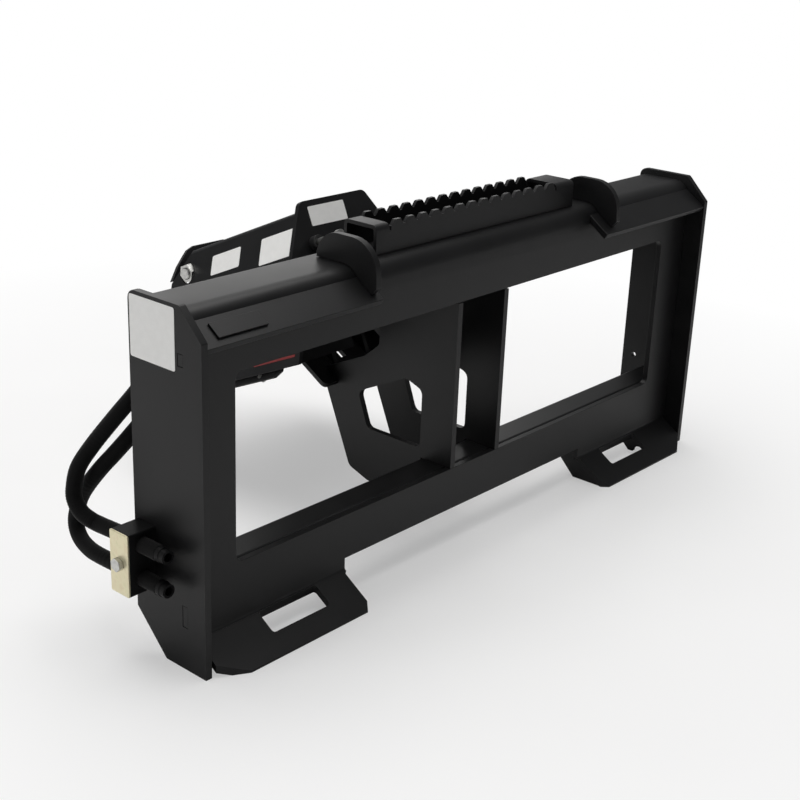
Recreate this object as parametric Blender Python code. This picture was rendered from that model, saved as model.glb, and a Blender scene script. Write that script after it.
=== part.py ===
# Earth auger drive on a quick attach frame, metres, +Z up, frame rear towards -Y, hood towards +Y.
# The drive is stowed in the hood with its output shaft between the two web plates.
import bpy
import bmesh
import math
from mathutils import Matrix, Vector

# Driving dimensions, frame
FRAME_WIDTH = 1.160
END_PLATE_T = 0.010
INNER_X = FRAME_WIDTH / 2 - END_PLATE_T
END_PLATE_DEPTH = 0.135
END_PLATE_FOOT = 0.078
END_PLATE_TOP = 0.492
END_PLATE_REAR_TOP = 0.4527
FACE_T = 0.0095
FACE_REAR_Y = 0.034
BEAM_TOP_Z = 0.4826
BEAM_BOTTOM_Z = 0.389
BEND_R = 0.015
GAP = 0.0003
FIT = 0.0006
WINDOW_HALF_X = FRAME_WIDTH / 2 - 0.0835
WINDOW_BOTTOM_Z = 0.1258
WINDOW_TOP_Z = 0.390
WINDOW_R = 0.012
BOTTOM_EDGE_Z = 0.0575
FLANGE_OUT_X = INNER_X - 0.004
FLANGE_IN_X = FLANGE_OUT_X - 0.272
FLANGE_BEND_Z = 0.041
FLANGE_EDGE_Y = -0.0265
FLANGE_EDGE_Z = 0.003
SLOT_OUT_X = FLANGE_OUT_X - 0.106
SLOT_IN_X = SLOT_OUT_X - 0.108
SLOT_FRONT_Y = 0.033
SLOT_REAR_Y = 0.0018
RAIL_SIZE = 0.050
RAIL_WALL = 0.004
LIP_T = 0.010
LIP_TOP_Z = 0.4715
LIP_EDGE_Z = 0.444
LIP_LEFT_IN_X = 0.262
LIP_RIGHT_IN_X = 0.268
TAG_LENGTH = 0.095
TAG_WIDTH = 0.024
TAG_T = 0.003
HOOK_T = 0.010
HOOK_LEFT_X = -0.275
HOOK_RIGHT_X = 0.273
HOOK_RISE = 0.041
STEP_LEFT_X = -0.211
STEP_RIGHT_X = 0.2715
STEP_REAR_Y = 0.068
STEP_FRONT_Y = 0.128
STEP_T = 0.006
STEP_ROOT_Z = 0.515
STEP_TIP_Z = 0.528
TEETH_LEFT_X = -0.157
TEETH_COUNT = 14
TEETH_PITCH = 0.0268
GUSSET_T = 0.008
GUSSET_IN_X = FLANGE_IN_X + 0.0015
GUSSET_MID_X = SLOT_OUT_X + 0.0105

# Driving dimensions, web plates and hood
WEB_GAP = 0.0996
WEB_T = 0.010
EAR_OUT_X = 0.090
EAR_T = 0.008
SLOPE = math.radians(24.2)
SIDE_SLOPE = math.radians(29.0)
HOOD_Y = 0.3464
HOOD_Z = 0.4711
HOOD_TOP_HALF = 0.080
HOOD_DEPTH = 0.2242
HOOD_T = 0.00635
HOOD_FOLD_R = 0.012
BULK_T = 0.008
BULK_TOP_HALF = 0.073
BULK_RISE = 0.0147
BULK_SLOPE = math.radians(30.6)
NOTCH_HALF = 0.0445
CAP_T = 0.006
CAP_RISE = 0.0125
CAP_DEPTH = 0.040
BAR_T = 0.005

# Driving dimensions, drive
PIVOT_N = 0.035
PIVOT_R = 0.010
BOSS_R = 0.0165
BOSS_IN_X = 0.0712
BOSS_OUT_X = 0.0935
AXIS_N = 0.115
CRADLE_HALF = 0.070
CRADLE_T = 0.010
EYE_R = 0.026
MOTOR_HALF = 0.050
HOUSING_R = 0.080
NOSE_R = 0.058
NOSE_S = 0.035
NOSE_FLANGE_S = NOSE_S + 0.0255
HOUSING_S = NOSE_FLANGE_S + 0.012
PLATE_S = HOUSING_S + 0.0697
MOTOR_END_S = PLATE_S + CRADLE_T + 0.0728
END_CAP_S = MOTOR_END_S + 0.025
PIVOT_S = END_CAP_S + 0.034
HOOD_LENGTH = PIVOT_S + 0.046
BAR_LENGTH = HOOD_LENGTH - 0.085
SHAFT_R = 0.030
BEARING_R = 0.045
HEX_FLATS = 0.0508
HEX_END_S = -0.080
MODULE = 0.0025
SUN_TEETH = 12
PLANET_TEETH = 18
RING_TEETH = 48
GEAR_S = HOUSING_S + 0.031
GEAR_W = 0.030
PLANET_PIN_R = 0.010
SUN_SHAFT_R = 0.008
BIT_PIN_R = 0.008
BIT_PIN_HALF = 0.039
LOCK_X = -0.066
LOCK_N = 0.054
LOCK_R = 0.006
LOCK_TRAVEL = 0.034
LUG_HALF = 0.012
LUG_S = NOSE_S - 0.010

# Driving dimensions, hoses and clamp
CLAMP_Y = 0.1118
CLAMP_Z = 0.1430
CLAMP_DEPTH = 0.036
CLAMP_HEIGHT = 0.087
CLAMP_BLOCK_T = 0.0415
COVER_T = 0.003
BOLT_R = 0.0045
HOSE_R = 0.0110
HOSE_X = -FRAME_WIDTH / 2 - 0.0212
HOSE_UPPER_Z = 0.1680
HOSE_LOWER_Z = 0.1205
HOSE_START_Y = 0.0600
FERRULE_R = 0.0095
FERRULE_BORE_R = 0.0060
FERRULE_Y = 0.0440
JUNCTION_X = -0.100

for old in list(bpy.data.objects):
    bpy.data.objects.remove(old, do_unlink=True)

RIB_X = INNER_X - GAP
PI = math.pi


def material(name, colour, metallic, rough):
    mat = bpy.data.materials.new(name)
    mat.use_nodes = True
    node = mat.node_tree.nodes["Principled BSDF"]
    node.inputs["Base Color"].default_value = (colour[0], colour[1], colour[2], 1.0)
    node.inputs["Metallic"].default_value = metallic
    node.inputs["Roughness"].default_value = rough
    mat.diffuse_color = (colour[0], colour[1], colour[2], 1.0)
    return mat


def finish(name, bm, look, smooth=False):
    bmesh.ops.remove_doubles(bm, verts=bm.verts, dist=1e-6)
    bmesh.ops.recalc_face_normals(bm, faces=bm.faces)
    mesh = bpy.data.meshes.new(name)
    bm.to_mesh(mesh)
    bm.free()
    if smooth:
        for poly in mesh.polygons:
            poly.use_smooth = True
        mesh.set_sharp_from_angle(angle=math.radians(32))
    obj = bpy.data.objects.new(name, mesh)
    bpy.context.scene.collection.objects.link(obj)
    if look is not None:
        colour, metallic, rough = look
        mesh.materials.append(material(name + "_mat", colour, metallic, rough))
    return obj


# Materials: black powder coat, bare steel, cast iron, zinc plate, rubber
COAT = ((0.028, 0.028, 0.029), 0.0, 0.42)
STEEL = ((0.55, 0.55, 0.56), 1.0, 0.30)
IRON = ((0.10, 0.10, 0.11), 0.3, 0.55)
ZINC = ((0.62, 0.55, 0.38), 1.0, 0.35)
RUBBER = ((0.012, 0.012, 0.012), 0.0, 0.75)
TAG = ((0.05, 0.05, 0.052), 0.2, 0.45)


def arc(cx, cy, r, a0, a1, steps):
    out = []
    for i in range(steps + 1):
        a = a0 + (a1 - a0) * i / steps
        out.append((cx + r * math.cos(a), cy + r * math.sin(a)))
    return out


def rounded(points, radius, steps=4):
    # Fillet every corner whose radius is above zero
    out = []
    count = len(points)
    for i in range(count):
        r = radius[i] if isinstance(radius, (list, tuple)) else radius
        p = Vector(points[i])
        a = Vector(points[i - 1]) - p
        b = Vector(points[(i + 1) % count]) - p
        if r <= 0.0:
            out.append((p.x, p.y))
            continue
        ua = a.normalized()
        ub = b.normalized()
        half = math.acos(max(-1.0, min(1.0, ua.dot(ub)))) / 2
        if half > PI / 2 - 0.01:
            out.append((p.x, p.y))
            continue
        cut = r / math.tan(half)
        start = p + ua * cut
        end = p + ub * cut
        centre = p + (ua + ub).normalized() * (r / math.sin(half))
        a0 = math.atan2(start.y - centre.y, start.x - centre.x)
        a1 = math.atan2(end.y - centre.y, end.x - centre.x)
        while a1 - a0 > PI:
            a1 -= 2 * PI
        while a1 - a0 < -PI:
            a1 += 2 * PI
        out += arc(centre.x, centre.y, r, a0, a1, steps)
    return out


def to_axis(axis, a, b, c):
    # a, b lie in the outline plane and c along the extrusion
    if axis == "X":
        return Vector((c, a, b))
    if axis == "Y":
        return Vector((a, c, b))
    return Vector((a, b, c))


def prism_into(bm, outline, axis, c0, c1, holes=()):
    loops = [outline] + list(holes)
    edges = []
    verts = []
    for loop in loops:
        ring = [bm.verts.new(to_axis(axis, p[0], p[1], c0)) for p in loop]
        verts += ring
        for i in range(len(ring)):
            edges.append(bm.edges.new((ring[i], ring[(i + 1) % len(ring)])))
    if len(loops) == 1:
        faces = [bm.faces.new(verts)]
    else:
        done = bmesh.ops.triangle_fill(bm, use_beauty=True, use_dissolve=False, edges=edges)
        faces = [g for g in done["geom"] if isinstance(g, bmesh.types.BMFace)]
    grown = bmesh.ops.extrude_face_region(bm, geom=faces, use_keep_orig=True)
    moved = [g for g in grown["geom"] if isinstance(g, bmesh.types.BMVert)]
    shift = to_axis(axis, 0.0, 0.0, c1 - c0)
    bmesh.ops.translate(bm, verts=moved, vec=shift)


def prism(name, outline, axis, c0, c1, look, holes=(), smooth=False):
    bm = bmesh.new()
    prism_into(bm, outline, axis, c0, c1, holes)
    return finish(name, bm, look, smooth)


def box_outline(a0, a1, b0, b1):
    return [(a0, b0), (a1, b0), (a1, b1), (a0, b1)]


def circle(cx, cy, r, steps=32):
    return arc(cx, cy, r, 0.0, 2 * PI * (steps - 1) / steps, steps - 1)


def hexagon(cx, cy, flats, turn=0.0):
    r = flats / math.sqrt(3.0)
    return [(cx + r * math.cos(turn + PI * i / 3), cy + r * math.sin(turn + PI * i / 3)) for i in range(6)]


def lathe(name, profile, axis, look, steps=32, a=0.0, b=0.0):
    # profile: closed list of (radius, position along the axis); a, b place the axis
    bm = bmesh.new()
    rings = []
    for r, c in profile:
        if r < 1e-9:
            rings.append([bm.verts.new(to_axis(axis, a, b, c))])
            continue
        ring = []
        for i in range(steps):
            t = 2 * PI * i / steps
            ring.append(bm.verts.new(to_axis(axis, a + r * math.cos(t), b + r * math.sin(t), c)))
        rings.append(ring)
    count = len(rings)
    for k in range(count):
        low = rings[k]
        high = rings[(k + 1) % count]
        if len(low) == 1 and len(high) == 1:
            continue
        for i in range(steps):
            j = (i + 1) % steps
            if len(low) == 1:
                bm.faces.new((low[0], high[j], high[i]))
            elif len(high) == 1:
                bm.faces.new((low[i], low[j], high[0]))
            else:
                bm.faces.new((low[i], low[j], high[j], high[i]))
    return finish(name, bm, look, True)


def guide(obj):
    obj.hide_render = True
    obj.display_type = "WIRE"
    return obj


def boolean(target, other, kind):
    guide(other)
    mod = target.modifiers.new(kind.lower(), "BOOLEAN")
    mod.operation = kind
    mod.solver = "EXACT"
    mod.object = other
    return mod


def soften(obj, width, segments=1, angle=50):
    mod = obj.modifiers.new("soften", "BEVEL")
    mod.width = width
    mod.segments = segments
    mod.limit_method = "ANGLE"
    mod.angle_limit = math.radians(angle)
    return mod


def mirror_pair(x0, x1, side):
    # side +1 right, -1 left; returns the lower and higher X of a mirrored span
    if side > 0:
        return x0, x1
    return -x1, -x0


# End plates, with the face plate tabs standing in their slots
TAB_LOW_0 = 0.0620
TAB_LOW_1 = 0.0920
TAB_HIGH_0 = 0.4160
TAB_HIGH_1 = 0.4316
TAB_ROOM = 0.0008
corner_y = END_PLATE_TOP - END_PLATE_REAR_TOP
end_outline = [
    (0.0, 0.0),
    (END_PLATE_FOOT, 0.0),
    (END_PLATE_DEPTH, END_PLATE_DEPTH - END_PLATE_FOOT),
    (END_PLATE_DEPTH, END_PLATE_TOP),
    (corner_y, END_PLATE_TOP),
    (0.0, END_PLATE_REAR_TOP),
]
end_outline = rounded(end_outline, [0.0, 0.0, 0.0, 0.012, 0.006, 0.003], 4)
tab_slot_low = box_outline(FACE_REAR_Y - 0.0045, FACE_REAR_Y + FACE_T + TAB_ROOM,
                           TAB_LOW_0 - 0.0024, TAB_LOW_1 + 0.0024)
tab_slot_high = box_outline(FACE_REAR_Y - TAB_ROOM, FACE_REAR_Y + FACE_T + TAB_ROOM,
                            TAB_HIGH_0 - 0.0018, TAB_HIGH_1 + 0.0018)
bolt_hole = circle(CLAMP_Y, CLAMP_Z, BOLT_R + FIT, 20)
end_holes = [tab_slot_low, tab_slot_high, bolt_hole]
end_left = prism("end_plate_left", end_outline, "X", -FRAME_WIDTH / 2, -INNER_X, COAT, end_holes)
end_right = prism("end_plate_right", end_outline, "X", INNER_X, FRAME_WIDTH / 2, COAT, end_holes)
for plate in (end_left, end_right):
    soften(plate, 0.0008)

# Formed face plate: face, beam top and beam front in one sheet, two flanges bent rearward at the bottom
front_y = END_PLATE_DEPTH
face_front = FACE_REAR_Y + FACE_T
flange_run = FACE_REAR_Y - FLANGE_EDGE_Y
flange_tan = (FLANGE_BEND_Z - FLANGE_EDGE_Z) / flange_run
flange_drop = FACE_T * math.sqrt(1.0 + flange_tan * flange_tan)
lower_bend_z = FLANGE_BEND_Z - flange_drop + FACE_T * flange_tan
lower_zero_y = FACE_REAR_Y - (FLANGE_BEND_Z - flange_drop) / flange_tan
face_profile = rounded([
    (FACE_REAR_Y, BEAM_TOP_Z),
    (FACE_REAR_Y, FLANGE_BEND_Z),
    (FLANGE_EDGE_Y, FLANGE_EDGE_Z),
    (FLANGE_EDGE_Y, 0.0),
    (lower_zero_y, 0.0),
    (face_front, lower_bend_z),
    (face_front, BEAM_TOP_Z - FACE_T),
    (front_y - FACE_T, BEAM_TOP_Z - FACE_T),
    (front_y - FACE_T, BEAM_BOTTOM_Z),
    (front_y, BEAM_BOTTOM_Z),
    (front_y, BEAM_TOP_Z),
], [BEND_R, 0.004, 0.0, 0.0, 0.0, 0.013, 0.0055, 0.0055, 0.0, 0.0, BEND_R], 5)
tab_end = FRAME_WIDTH / 2 - 0.0015
face = prism("formed_face_plate", face_profile, "X", -tab_end, tab_end, COAT, smooth=True)

cut_bm = bmesh.new()
window = rounded(box_outline(-WINDOW_HALF_X, WINDOW_HALF_X, WINDOW_BOTTOM_Z, WINDOW_TOP_Z), WINDOW_R, 4)
prism_into(cut_bm, window, "Y", 0.020, 0.060)
relief = 0.0045
middle = [
    (-FLANGE_IN_X, -0.02), (FLANGE_IN_X, -0.02), (FLANGE_IN_X, FLANGE_BEND_Z - 0.004),
    (FLANGE_IN_X - relief, FLANGE_BEND_Z - 0.002), (FLANGE_IN_X - relief, BOTTOM_EDGE_Z),
    (-FLANGE_IN_X + relief, BOTTOM_EDGE_Z), (-FLANGE_IN_X + relief, FLANGE_BEND_Z - 0.002),
    (-FLANGE_IN_X, FLANGE_BEND_Z - 0.004),
]
prism_into(cut_bm, middle, "Y", -0.060, 0.060)
tab_keep_low = box_outline(FACE_REAR_Y - 0.003, face_front + 0.003, TAB_LOW_0, TAB_LOW_1)
tab_keep_high = box_outline(FACE_REAR_Y - 0.003, face_front + 0.003, TAB_HIGH_0, TAB_HIGH_1)
side_cut = box_outline(-0.080, 0.180, -0.030, 0.540)
for side in (-1, 1):
    x0, x1 = mirror_pair(RIB_X, 0.620, side)
    prism_into(cut_bm, side_cut, "X", x0, x1, [tab_keep_low, tab_keep_high])
face_cut = finish("face_window_cut", cut_bm, None)
boolean(face, face_cut, "DIFFERENCE")

trim_bm = bmesh.new()
for side in (-1, 1):
    x0, x1 = mirror_pair(SLOT_IN_X, SLOT_OUT_X, side)
    slot = rounded(box_outline(x0, x1, SLOT_REAR_Y, SLOT_FRONT_Y - 0.001), 0.004, 3)
    prism_into(trim_bm, slot, "Z", -0.020, 0.060)
    outer = [(side * (FLANGE_OUT_X + 0.02), -0.060), (side * (FLANGE_OUT_X + 0.02), 0.050),
             (side * FLANGE_OUT_X, 0.050), (side * FLANGE_OUT_X, -0.003),
             (side * (FLANGE_OUT_X - 0.042), -0.0275), (side * (FLANGE_OUT_X - 0.042), -0.060)]
    prism_into(trim_bm, outer, "Z", -0.020, FLANGE_BEND_Z + 0.004)
    nip = [(side * (FLANGE_IN_X - 0.015), -0.050), (side * (FLANGE_IN_X + 0.0114), -0.0275),
           (side * (FLANGE_IN_X - 0.009), -0.005), (side * (FLANGE_IN_X - 0.015), -0.005)]
    prism_into(trim_bm, nip, "Z", -0.020, 0.030)
flange_trim = finish("flange_trim_cut", trim_bm, None)
boolean(face, flange_trim, "DIFFERENCE")

# Beam bottom plate closes the box beam between the face and the beam front
beam_bottom = prism("beam_bottom_plate",
                    box_outline(face_front + GAP, front_y - FACE_T - GAP, BEAM_BOTTOM_Z + 0.001,
                                BEAM_BOTTOM_Z + 0.001 + 0.008),
                    "X", -RIB_X, RIB_X, COAT)

# Bottom rail, square tube behind the face plate
rail_y0 = face_front + GAP
rail_y1 = rail_y0 + RAIL_SIZE
rail_z1 = WINDOW_BOTTOM_Z
rail_z0 = rail_z1 - RAIL_SIZE
rail_out = rounded(box_outline(rail_y0, rail_y1, rail_z0, rail_z1), 0.005, 3)
rail_in = rounded(box_outline(rail_y0 + RAIL_WALL, rail_y1 - RAIL_WALL, rail_z0 + RAIL_WALL,
                              rail_z1 - RAIL_WALL), 0.002, 2)
rail = prism("bottom_rail", rail_out, "X", -RIB_X, RIB_X, COAT, [rail_in], smooth=True)

# Lip plates that carry the frame on its coupler
lip_len = math.hypot(FACE_REAR_Y, LIP_TOP_Z - LIP_EDGE_Z)
lip_dy = -FACE_REAR_Y / lip_len
lip_dz = -(LIP_TOP_Z - LIP_EDGE_Z) / lip_len
lip_slope = (LIP_TOP_Z - LIP_EDGE_Z) / FACE_REAR_Y
lip_y1 = FACE_REAR_Y - GAP
lip_top_z1 = LIP_TOP_Z - GAP * lip_slope
lip_low = (0.0 - LIP_T * lip_dz, LIP_EDGE_Z + LIP_T * lip_dy)
lip_profile = [
    (lip_y1, lip_top_z1),
    (0.0, LIP_EDGE_Z),
    lip_low,
    (lip_y1, lip_low[1] + (lip_y1 - lip_low[0]) * lip_slope),
]
lip_left = prism("lip_plate_left", lip_profile, "X", -RIB_X, -LIP_LEFT_IN_X, COAT)
lip_right = prism("lip_plate_right", lip_profile, "X", LIP_RIGHT_IN_X, RIB_X, COAT)
for plate in (lip_left, lip_right, beam_bottom):
    soften(plate, 0.0008)

# Plain tag plate on the left lip
tag_mid = 0.5
tag_cy = FACE_REAR_Y * tag_mid
tag_cz = LIP_EDGE_Z + (LIP_TOP_Z - LIP_EDGE_Z) * tag_mid
up_y = lip_dz
up_z = -lip_dy
tag_half = TAG_WIDTH / 2


def lip_point(along, above):
    return (tag_cy - lip_dy * along + up_y * above, tag_cz - lip_dz * along + up_z * above)


tag_profile = [lip_point(-tag_half, GAP), lip_point(tag_half, GAP),
               lip_point(tag_half, GAP + TAG_T), lip_point(-tag_half, GAP + TAG_T)]
tag_x0 = -FRAME_WIDTH / 2 + 0.034
lip_tag = prism("lip_tag", tag_profile, "X", tag_x0, tag_x0 + TAG_LENGTH, TAG)
soften(lip_tag, 0.0006)

# Hook plates stand on the beam top and rest on the lips
bend_cy = FACE_REAR_Y + BEND_R
bend_cz = BEAM_TOP_Z - BEND_R
hook_inner = arc(bend_cy, bend_cz, BEND_R + 0.0009, PI / 2, PI * 0.86, 5)
hook_tip = [(0.0325, LIP_EDGE_Z + 0.0325 * lip_slope + 0.0008), (0.0015, LIP_EDGE_Z + 0.0015 * lip_slope + 0.0008)]
hook_top = BEAM_TOP_Z + HOOK_RISE
hook_outer = [
    (0.0, LIP_EDGE_Z + 0.0130), (0.0041, BEAM_TOP_Z - 0.0024), (0.0129, hook_top - 0.0289),
    (0.0233, hook_top - 0.0135), (0.0404, hook_top - 0.0031), (0.0591, hook_top - 0.0001),
    (0.0827, hook_top - 0.0033), (0.0965, hook_top - 0.0098), (0.1117, hook_top - 0.0198),
    (0.1178, hook_top - 0.0287), (0.1180, BEAM_TOP_Z + 0.0009),
]
hook_shape = hook_inner + hook_tip + hook_outer
hook_left = prism("hook_plate_left", hook_shape, "X", HOOK_LEFT_X, HOOK_LEFT_X + HOOK_T, COAT)
hook_right = prism("hook_plate_right", hook_shape, "X", HOOK_RIGHT_X, HOOK_RIGHT_X + HOOK_T, COAT)
for plate in (hook_left, hook_right):
    soften(plate, 0.0009, 1, 60)

# Serrated step: folded channel, teeth on both walls, web cut away between them
step_z0 = BEAM_TOP_Z + GAP
wall_outline = [(STEP_LEFT_X, step_z0), (STEP_RIGHT_X, step_z0), (STEP_RIGHT_X, STEP_ROOT_Z)]
for i in reversed(range(TEETH_COUNT)):
    x = TEETH_LEFT_X + TEETH_PITCH * i
    wall_outline.append((x + TEETH_PITCH * 0.64, STEP_ROOT_Z))
    wall_outline.append((x + TEETH_PITCH * 0.56, STEP_TIP_Z))
    wall_outline.append((x + TEETH_PITCH * 0.08, STEP_TIP_Z))
    wall_outline.append((x, STEP_ROOT_Z))
wall_outline.append((STEP_LEFT_X, STEP_ROOT_Z))
step = prism("serrated_step", wall_outline, "Y", STEP_REAR_Y, STEP_REAR_Y + STEP_T, COAT)
step_wall = prism("step_front_wall", wall_outline, "Y", STEP_FRONT_Y - STEP_T, STEP_FRONT_Y, COAT)
bridge_bm = bmesh.new()
bridge_y0 = STEP_REAR_Y + STEP_T / 2
bridge_y1 = STEP_FRONT_Y - STEP_T / 2
teeth_right = TEETH_LEFT_X + TEETH_PITCH * TEETH_COUNT
bridge_left = rounded(box_outline(STEP_LEFT_X, TEETH_LEFT_X, bridge_y0, bridge_y1), 0.0, 1)
bridge_right = rounded(box_outline(teeth_right, STEP_RIGHT_X, bridge_y0, bridge_y1), 0.0, 1)
prism_into(bridge_bm, bridge_left, "Z", STEP_ROOT_Z - STEP_T, STEP_ROOT_Z)
prism_into(bridge_bm, bridge_right, "Z", STEP_ROOT_Z - STEP_T, STEP_ROOT_Z)
step_bridge = finish("step_bridges", bridge_bm, None)
boolean(step_wall, step_bridge, "UNION")
boolean(step, step_wall, "UNION")

# Flange gussets under the bent flanges
low_off = 0.0005
gusset_z = FLANGE_BEND_Z - flange_drop - low_off
gusset_front = face_front + 0.0006
gusset_rear = FACE_REAR_Y - gusset_z / flange_tan
gusset_shape = [
    (gusset_rear, 0.0), (0.044, 0.0), (0.072, 0.028), (0.072, BOTTOM_EDGE_Z), (gusset_front, BOTTOM_EDGE_Z),
    (gusset_front, gusset_z + (gusset_front - FACE_REAR_Y) * flange_tan),
]
notch_shape = [(gusset_rear, 0.0), (0.010, 0.0)]
notch_shape += arc(0.022, 0.0, 0.012, PI, 0.0, 8)[1:]
notch_shape += gusset_shape[1:]
for label, side in (("left", -1), ("right", 1)):
    x0, x1 = mirror_pair(GUSSET_IN_X, GUSSET_IN_X + GUSSET_T, side)
    soften(prism("flange_gusset_%s_inner" % label, gusset_shape, "X", x0, x1, COAT), 0.0006)
    x0, x1 = mirror_pair(GUSSET_MID_X, GUSSET_MID_X + GUSSET_T, side)
    soften(prism("flange_gusset_%s_outer" % label, notch_shape, "X", x0, x1, COAT), 0.0006, 1, 60)

# Web plates between the frame and the hood
web_y0 = FACE_REAR_Y
web_front_y = rail_y1 + 0.0004
web_top = BEAM_BOTTOM_Z - 0.0005
cs = math.cos(SLOPE)
sn = math.sin(SLOPE)


def hood_yz(s, n):
    return (HOOD_Y + s * cs - n * sn, HOOD_Z - s * sn - n * cs)


rear_s = -BULK_T - GAP
arm_low = hood_yz(rear_s, 0.150)
arm_high = hood_yz(rear_s, 0.076)
web_shape = [
    (web_y0, rail_z1 + 0.0004), (web_front_y, rail_z1 + 0.0004), (web_front_y, 0.050), (0.204, 0.0525),
    (0.2444, 0.0661), (0.2987, 0.1912), (0.299, 0.223), (0.2183, 0.2608), (0.187, 0.287),
    (0.187, 0.322), arm_low, arm_high, (front_y + 0.0006, 0.402), (front_y + 0.0006, web_top), (web_y0, web_top),
]
web_shape = rounded(web_shape, [0.0, 0.0, 0.004, 0.020, 0.015, 0.012, 0.004, 0.016, 0.010,
                                0.012, 0.0, 0.0, 0.0, 0.0, 0.0], 4)
web_hole = rounded([(0.0965, 0.142), (0.207, 0.142), (0.229, 0.1992), (0.1299, 0.2479), (0.0965, 0.2364)],
                   [0.010, 0.012, 0.012, 0.014, 0.012], 4)
web_in = WEB_GAP / 2
for label, side in (("left", -1), ("right", 1)):
    x0, x1 = mirror_pair(web_in, web_in + WEB_T, side)
    soften(prism("web_plate_%s" % label, web_shape, "X", x0, x1, COAT, [web_hole]), 0.0007, 1, 60)

# Sloping ears on the outside of the web plates
ear_a = (0.336, 0.244)
ear_b = (0.262, 0.1795)
ear_len = math.hypot(ear_a[0] - ear_b[0], ear_a[1] - ear_b[1])
ear_u = ((ear_b[0] - ear_a[0]) / ear_len, (ear_b[1] - ear_a[1]) / ear_len)
ear_n = (-ear_u[1], ear_u[0])
ear_profile = [ear_a, ear_b, (ear_b[0] + ear_n[0] * -EAR_T, ear_b[1] + ear_n[1] * -EAR_T),
               (ear_a[0] + ear_n[0] * -EAR_T, ear_a[1] + ear_n[1] * -EAR_T)]
ear_in = web_in + WEB_T + GAP
for label, side in (("left", -1), ("right", 1)):
    x0, x1 = mirror_pair(ear_in, EAR_OUT_X, side)
    soften(prism("web_ear_%s" % label, ear_profile, "X", x0, x1, COAT), 0.0007)


# Pieces on the hood axis: local Y runs down the hood, local Z is its outward normal
def seat(obj, s=0.0, n=0.0, x=0.0):
    y, z = hood_yz(s, n)
    obj.location = (x, y, z)
    obj.rotation_euler = (-SLOPE, 0.0, 0.0)
    return obj


side_tan = math.tan(SIDE_SLOPE)
bottom_half = HOOD_TOP_HALF + HOOD_DEPTH * side_tan
wall_x = HOOD_T / math.cos(SIDE_SLOPE)
top_shift = HOOD_T * (1.0 / math.cos(SIDE_SLOPE) - side_tan)
inner_top = HOOD_TOP_HALF - top_shift
hood_profile = [
    (-bottom_half, -HOOD_DEPTH), (-HOOD_TOP_HALF, 0.0), (HOOD_TOP_HALF, 0.0), (bottom_half, -HOOD_DEPTH),
    (bottom_half - wall_x, -HOOD_DEPTH), (inner_top, -HOOD_T), (-inner_top, -HOOD_T),
    (-bottom_half + wall_x, -HOOD_DEPTH),
]
inner_fold = HOOD_FOLD_R - HOOD_T
hood_profile = rounded(hood_profile, [0.0, HOOD_FOLD_R, HOOD_FOLD_R, 0.0, 0.0, inner_fold, inner_fold, 0.0], 5)
hood = seat(prism("hood_shell", hood_profile, "Y", GAP, HOOD_LENGTH - GAP, COAT, smooth=True))

# Nose corners of the hood are cut by one plane on each side, and the pivot holes go through the sides
nose_bm = bmesh.new()
for side in (-1, 1):
    p1 = Vector((side * HOOD_TOP_HALF, HOOD_LENGTH - 0.0525, 0.0))
    p2 = Vector((side * 0.035, HOOD_LENGTH, 0.0))
    p3 = Vector((side * 0.1038, HOOD_LENGTH - 0.0016, -0.0429))
    u = (p2 - p1).normalized()
    w = u.cross(p3 - p1).normalized()
    if w.z < 0:
        w = -w
    v = w.cross(u)
    centre = (p1 + p2) / 2
    reach = 0.120
    high = 0.060
    corners = []
    for k in (0.0, high):
        for a, b in ((-1, -1), (1, -1), (1, 1), (-1, 1)):
            corners.append(nose_bm.verts.new(centre + u * (a * reach) + v * (b * reach) + w * k))
    for idx in ((0, 1, 2, 3), (4, 5, 6, 7), (0, 1, 5, 4), (1, 2, 6, 5), (2, 3, 7, 6), (3, 0, 4, 7)):
        nose_bm.faces.new([corners[i] for i in idx])
    if side < 0:
        nose_left = seat(finish("nose_cut_left", nose_bm, None))
        nose_bm = bmesh.new()
nose_right = seat(finish("nose_cut_right", nose_bm, None))
boolean(hood, nose_left, "DIFFERENCE")
boolean(hood, nose_right, "DIFFERENCE")
pivot_cut = prism("pivot_side_cut", circle(0.0, 0.0, BOSS_R + 0.0005, 24), "X", -0.160, 0.160, None)
boolean(hood, seat(pivot_cut, PIVOT_S, PIVOT_N), "DIFFERENCE")

# Bulkhead with the shaft notch, label land and two hose holes
bulk_bottom = HOOD_DEPTH
bulk_half = BULK_TOP_HALF + (bulk_bottom + BULK_RISE) * math.tan(BULK_SLOPE)
bulk_shape = rounded([
    (-bulk_half, -bulk_bottom), (-BULK_TOP_HALF, BULK_RISE), (BULK_TOP_HALF, BULK_RISE), (bulk_half, -bulk_bottom),
], [0.010, 0.014, 0.014, 0.010], 5)
notch = [(NOTCH_HALF, -bulk_bottom)]
notch += arc(0.0, -AXIS_N, NOTCH_HALF, 0.0, PI, 14)
notch.append((-NOTCH_HALF, -bulk_bottom))
HOSE_HOLE_R = HOSE_R + 0.0008
JUNCTION_N_1 = 0.105
JUNCTION_N_2 = 0.140
bulk_holes = [circle(JUNCTION_X, -JUNCTION_N_1, HOSE_HOLE_R, 20), circle(JUNCTION_X, -JUNCTION_N_2, HOSE_HOLE_R, 20),
              circle(LOCK_X, -LOCK_N, LOCK_R + 0.0006, 20)]
bulk = seat(prism("hood_bulkhead", bulk_shape + notch, "Y", -BULK_T, 0.0, COAT, bulk_holes))
soften(bulk, 0.0008, 1, 60)

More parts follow.
